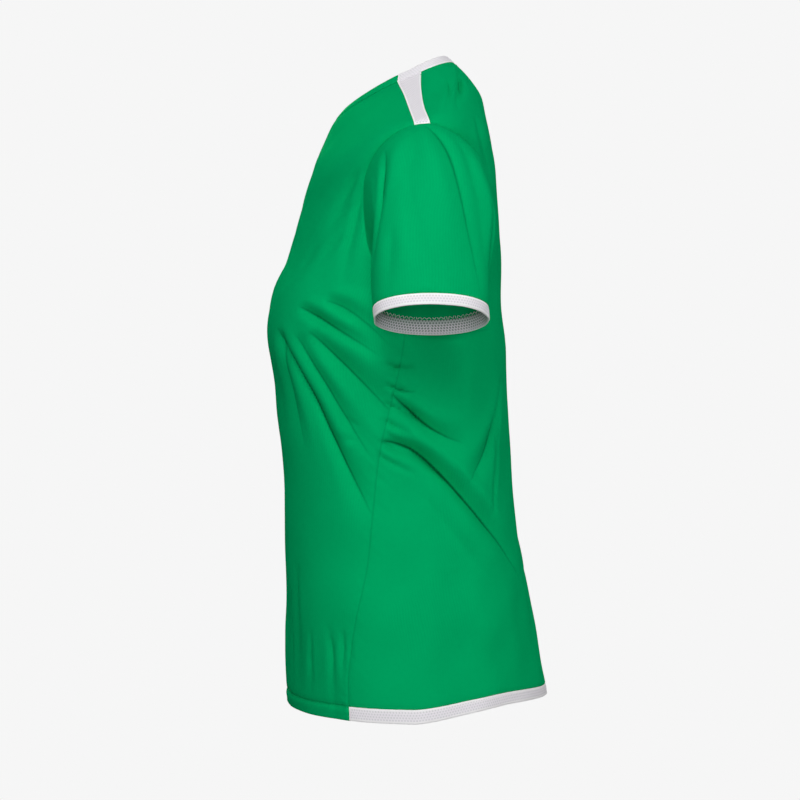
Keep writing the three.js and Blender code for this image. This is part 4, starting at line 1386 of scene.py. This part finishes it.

# %% [markdown]
# The tree measures a line, sets points on it at the pitch of the stitches, and puts a
# bead on each point, slanted and turned a little at random as a real stitch is.

# %% The node tree that sews
def stitch_tree(thread):
    tree = bpy.data.node_groups.new("sew_along", "GeometryNodeTree")
    face = tree.interface
    face.new_socket("Geometry", in_out="INPUT", socket_type="NodeSocketGeometry")
    for name, value in (("Pitch", 0.003), ("Length", 0.002), ("Slant", 0.0), ("Wobble", 0.12)):
        face.new_socket(name, in_out="INPUT", socket_type="NodeSocketFloat").default_value = value
    face.new_socket("Geometry", in_out="OUTPUT", socket_type="NodeSocketGeometry")

    def node(kind, settings=(), **links):
        new = tree.nodes.new(kind)
        for key, value in dict(settings).items():
            setattr(new, key, value)
        for key, value in links.items():
            socket = new.inputs[int(key[1:])] if key[1:].isdigit() else new.inputs[key]
            if isinstance(value, bpy.types.NodeSocket):
                tree.links.new(value, socket)
            else:
                socket.default_value = value
        return new

    given = node("NodeGroupInput").outputs
    path = node("GeometryNodeMeshToCurve", Mesh=given["Geometry"])
    points = node("GeometryNodeCurveToPoints", {"mode": "LENGTH"}, Curve=path.outputs["Curve"],
                  Length=given["Pitch"])
    out = node("GeometryNodeInputNamedAttribute", {"data_type": "FLOAT_VECTOR"}, Name="out")
    flat = node("FunctionNodeAlignRotationToVector", {"axis": "Z"}, Vector=out.outputs[0])
    aimed = node("FunctionNodeAlignRotationToVector", {"axis": "X", "pivot_axis": "Z"},
                 Rotation=flat.outputs[0], Vector=points.outputs["Tangent"])
    random = node("FunctionNodeRandomValue", {"data_type": "FLOAT"}, _2=-1.0, _3=1.0, _8=4)
    index = node("GeometryNodeInputIndex")
    odd = node("ShaderNodeMath", {"operation": "MODULO"}, _0=index.outputs[0], _1=2.0)
    sign = node("ShaderNodeMath", {"operation": "MULTIPLY_ADD"}, _0=odd.outputs[0], _1=2.0,
                _2=-1.0)
    slant = node("ShaderNodeMath", {"operation": "MULTIPLY"}, _0=sign.outputs[0],
                 _1=given["Slant"])
    wobble = node("ShaderNodeMath", {"operation": "MULTIPLY"}, _0=random.outputs[1],
                  _1=given["Wobble"])
    both = node("ShaderNodeMath", {"operation": "ADD"}, _0=slant.outputs[0],
                _1=wobble.outputs[0])
    spin = node("ShaderNodeCombineXYZ", Z=both.outputs[0])
    turned = node("FunctionNodeRotateRotation", {"rotation_space": "LOCAL"},
                  Rotation=aimed.outputs[0])
    tree.links.new(node("FunctionNodeEulerToRotation", Euler=spin.outputs[0]).outputs[0],
                   turned.inputs[1])
    shape = node("GeometryNodeObjectInfo", Object=bead)
    placed = node("GeometryNodeInstanceOnPoints", Points=points.outputs["Points"],
                  Instance=shape.outputs["Geometry"], Rotation=turned.outputs[0],
                  Scale=given["Length"])
    real = node("GeometryNodeRealizeInstances", Geometry=placed.outputs[0])
    painted = node("GeometryNodeSetMaterial", Geometry=real.outputs[0], Material=thread)
    node("NodeGroupOutput", Geometry=painted.outputs[0])
    return tree


def sew(name, line, out, thread, pitch=3.0, length=2.3, slant=0.0, wobble=0.12):
    """Sews along a line of points in mm; out says which way the cloth faces there."""
    mesh = bpy.data.meshes.new(name)
    ends = [(i, i + 1) for i in range(len(line) - 1)]
    mesh.from_pydata((line * MM).tolist(), ends, [])
    facing = mesh.attributes.new("out", "FLOAT_VECTOR", "POINT")
    facing.data.foreach_set("vector", out.ravel().astype(np.float32))
    piece = bpy.data.objects.new(name, mesh)
    bpy.context.scene.collection.objects.link(piece)
    sewing = piece.modifiers.new("sew", "NODES")
    sewing.node_group = trees[thread]
    values = {"Pitch": pitch * MM, "Length": length * MM, "Slant": slant, "Wobble": wobble}
    for socket in sewing.node_group.interface.items_tree:
        if socket.name in values and socket.in_out == "INPUT":
            sewing[socket.identifier] = values[socket.name]
    return apply_modifiers(piece)


trees = {"green_thread": stitch_tree(GREEN_THREAD), "white_thread": stitch_tree(WHITE_THREAD)}
print("sewing trees:", list(trees))


# %% [markdown]
# The front's hem has two lines close together, and the band, the neck and the cuffs have
# one each. The loops stand above the top edge of the facing, inside the sleeve.

# %% Lines to sew along
def line_on(grid, row, lift, is_ring=False):
    """The points, and the outward directions, of a row between the rows of a grid."""
    low = int(row)
    share = row - low
    out = unit(mix(grid_outward(grid, is_ring)[low], grid_outward(grid, is_ring)[low + 1], share))
    return mix(grid[low], grid[low + 1], share) + out * lift, out


ON_CLOTH = CLOTH / 2 + 0.12
LOOP_RISE = 1.8
LOOP_LIFT = 0.25
stitches = {
    "hem_stitch_lower": (line_on(front, HEM_ROW - 0.4, ON_CLOTH), "green_thread", {}),
    "hem_stitch_upper": (line_on(front, HEM_ROW + 0.8, ON_CLOTH), "green_thread", {}),
    "hem_band_stitch": (line_on(back, 0.6, ON_CLOTH), "green_thread", {}),
    "back_neck_stitch": (line_on(back, len(back) - 2.5, ON_CLOTH), "green_thread", {}),
}
for side in SIGNS:
    edge = line_on(sleeve_grids[side], 0.7, ON_CLOTH, True)
    stitches[f"cuff_stitch_{side}"] = (edge, "green_thread", {})
    loops = {"pitch": 2.1, "length": 3.4, "slant": 1.0, "wobble": 0.4}
    facing = facing_grids[side]
    up = unit(facing[-1] - facing[-2])
    inside = -grid_outward(facing, True)[-1]
    loop_line = (facing[-1] + LOOP_RISE * up + LOOP_LIFT * inside, inside)
    stitches[f"facing_loops_{side}"] = (loop_line, "white_thread", loops)
sewn = {}
for name, ((points, out), thread_name, how) in stitches.items():
    sewn[name] = sew(name, points, out, thread_name, **how)
    print(name, "has", len(sewn[name].data.polygons), "faces")

# %% [markdown]
# ## Camera
# The photo was taken from the wearer's left, level with the middle of the shirt, and
# from about two and a half metres, which is what its perspective asks for.

# %% Camera
camera = bpy.data.objects.new("camera", bpy.data.cameras.new("camera"))
bpy.context.scene.collection.objects.link(camera)
camera.location = (2.450, -0.014, -0.312)
camera.rotation_euler = (math.pi / 2, 0, math.pi / 2)
camera.data.lens = 110.25
camera.data.sensor_width = 36
camera.data.clip_end = 60
bpy.context.scene.camera = camera

# %% [markdown]
# ## Light and stage
# The photo's light is soft and comes mostly from above and from behind the wearer. Seven
# large soft lights do that here, and one of them lifts the far side for other views.

# %% Light
MIDDLE = Vector((0, 0, -0.3))
WHITE = 0.8
WORLD_LIGHT = 0.04
LIGHTS = {
    # name: place, and strength, where 1 alone would show white cloth as white
    "above_camera": ((2.2, -0.3, 1.5), 0.45),
    "beside_camera": ((2.8, 0, -0.1), 0.18),
    "low": ((2.2, 0, -1.6), 0.2),
    "before": ((1.8, -1.8, 0.6), 0.34),
    "behind": ((0.5, 2.6, 0.2), 0.5),
    "far_side": ((-2.4, -0.6, 0.9), 0.4),
    "top": ((0.3, 0, 2.5), 0.2),
}
LIGHT_SIZE = 1.0


def soft_light(name, place, strength):
    lamp = bpy.data.lights.new(name, "AREA")
    lamp.shape = "DISK"
    lamp.size = LIGHT_SIZE
    way = MIDDLE - Vector(place)
    lamp.energy = strength * WHITE * math.pi**2 * way.length_squared
    light = bpy.data.objects.new(name, lamp)
    bpy.context.scene.collection.objects.link(light)
    light.location = place
    light.rotation_euler = way.to_track_quat("-Z", "Y").to_euler()


for name, (place, strength) in LIGHTS.items():
    soft_light(name, place, strength)
world = bpy.data.worlds.new("studio")
world.use_nodes = True
world.node_tree.nodes["Background"].inputs["Color"].default_value = (1, 1, 1, 1)
world.node_tree.nodes["Background"].inputs["Strength"].default_value = WORLD_LIGHT
bpy.context.scene.world = world
bpy.context.scene.view_settings.view_transform = "Standard"
print(len(LIGHTS), "soft lights")

# %% [markdown]
# The picture is evenly pale behind the shirt. A dome closes the view, and only the camera
# sees it, so it can't flood the cloth with light. The floor lies well below the hem and
# takes a little shade in its middle.

# %% Stage
PALE = (0.922, 0.922, 0.922, 1)
DOME_RADIUS = 14
FLOOR_RADIUS = 9
FLOOR_LEVEL = -1.45
FLOOR_MATT = 0.3


def glow(name):
    paint = Paint(name)
    shine = paint.node("ShaderNodeEmission", Color=PALE)
    return paint, shine


def stage_object(name, mesh, material):
    thing = bpy.data.objects.new(name, mesh)
    bpy.context.scene.collection.objects.link(thing)
    thing.data.materials.append(material)
    thing.visible_diffuse = False
    thing.visible_glossy = False
    thing.visible_transmission = False
    thing.visible_shadow = False


dome_mesh = bpy.data.meshes.new("dome")
shape = bmesh.new()
bmesh.ops.create_uvsphere(shape, u_segments=48, v_segments=24, radius=DOME_RADIUS)
bmesh.ops.reverse_faces(shape, faces=shape.faces)
shape.to_mesh(dome_mesh)
shape.free()
paint, shine = glow("pale_dome")
paint.put(shine, paint.output.inputs["Surface"])
stage_object("dome", dome_mesh, paint.material)

floor_mesh = bpy.data.meshes.new("floor")
shape = bmesh.new()
bmesh.ops.create_circle(shape, cap_ends=True, segments=96, radius=FLOOR_RADIUS)
bmesh.ops.translate(shape, vec=(0, 0, FLOOR_LEVEL), verts=shape.verts)
shape.to_mesh(floor_mesh)
shape.free()
paint, shine = glow("pale_floor")
matt = paint.node("ShaderNodeBsdfDiffuse", Color=(0.8, 0.8, 0.8, 1))
spot = paint.node("ShaderNodeTexCoord", out=3)
away = paint.node("ShaderNodeVectorMath", {"operation": "LENGTH"}, 1, _0=spot)
near = away.step_down(3.0, 1.4) * FLOOR_MATT
paint.put(
    paint.node("ShaderNodeMixShader", _0=near, _1=shine, _2=matt), paint.output.inputs["Surface"]
)
stage_object("floor", floor_mesh, paint.material)

# %% [markdown]
# ## Joining the frame
# Every piece and every line of stitching hangs from one root body, and the frame's solid
# that a cloth piece stands for is hidden. The table lists each cloth piece's solid, its finish
# and its cut: the flat size of the piece before it was sewn in metres, and its area.
# told its cut: the flat size of each piece before it was sewn, in metres.

# %% Pieces, their solids and their cut
CUT = {
    "front_cloth": ("front_panel", "green_knit", (0.515, 0.74), 0.2592),
    "back_cloth": ("back_panel", "green_knit", (0.64, 0.752), 0.287),
    "hem_band_cloth": ("back_hem_band", "white_mesh", (0.643, 0.024), 0.0154),
    "neckband_front_cloth": ("neckband_front", "green_knit", (0.229, 0.024), 0.0052),
    "neckband_back_cloth": ("neckband_back", "white_mesh", (0.232, 0.024), 0.0052),
}
for side in SIGNS:
    CUT[f"insert_cloth_{side}"] = (f"shoulder_insert_{side}", "white_mesh", (0.03, 0.13), 0.00214)
    CUT[f"sleeve_cloth_{side}"] = (f"sleeve_{side}", "green_knit", (0.432, 0.184), 0.0427)
    CUT[f"cuff_cloth_{side}"] = (f"cuff_{side}", "white_mesh", (0.311, 0.029), 0.0087)
for name, (node, slot, flat, area) in CUT.items():
    piece = bpy.data.objects[name]
    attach(piece, "root")
    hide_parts(node)
for name, piece in sewn.items():
    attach(piece, "root")
    "white_mesh" if stitches[name][1] == "white_thread" else "green_knit"
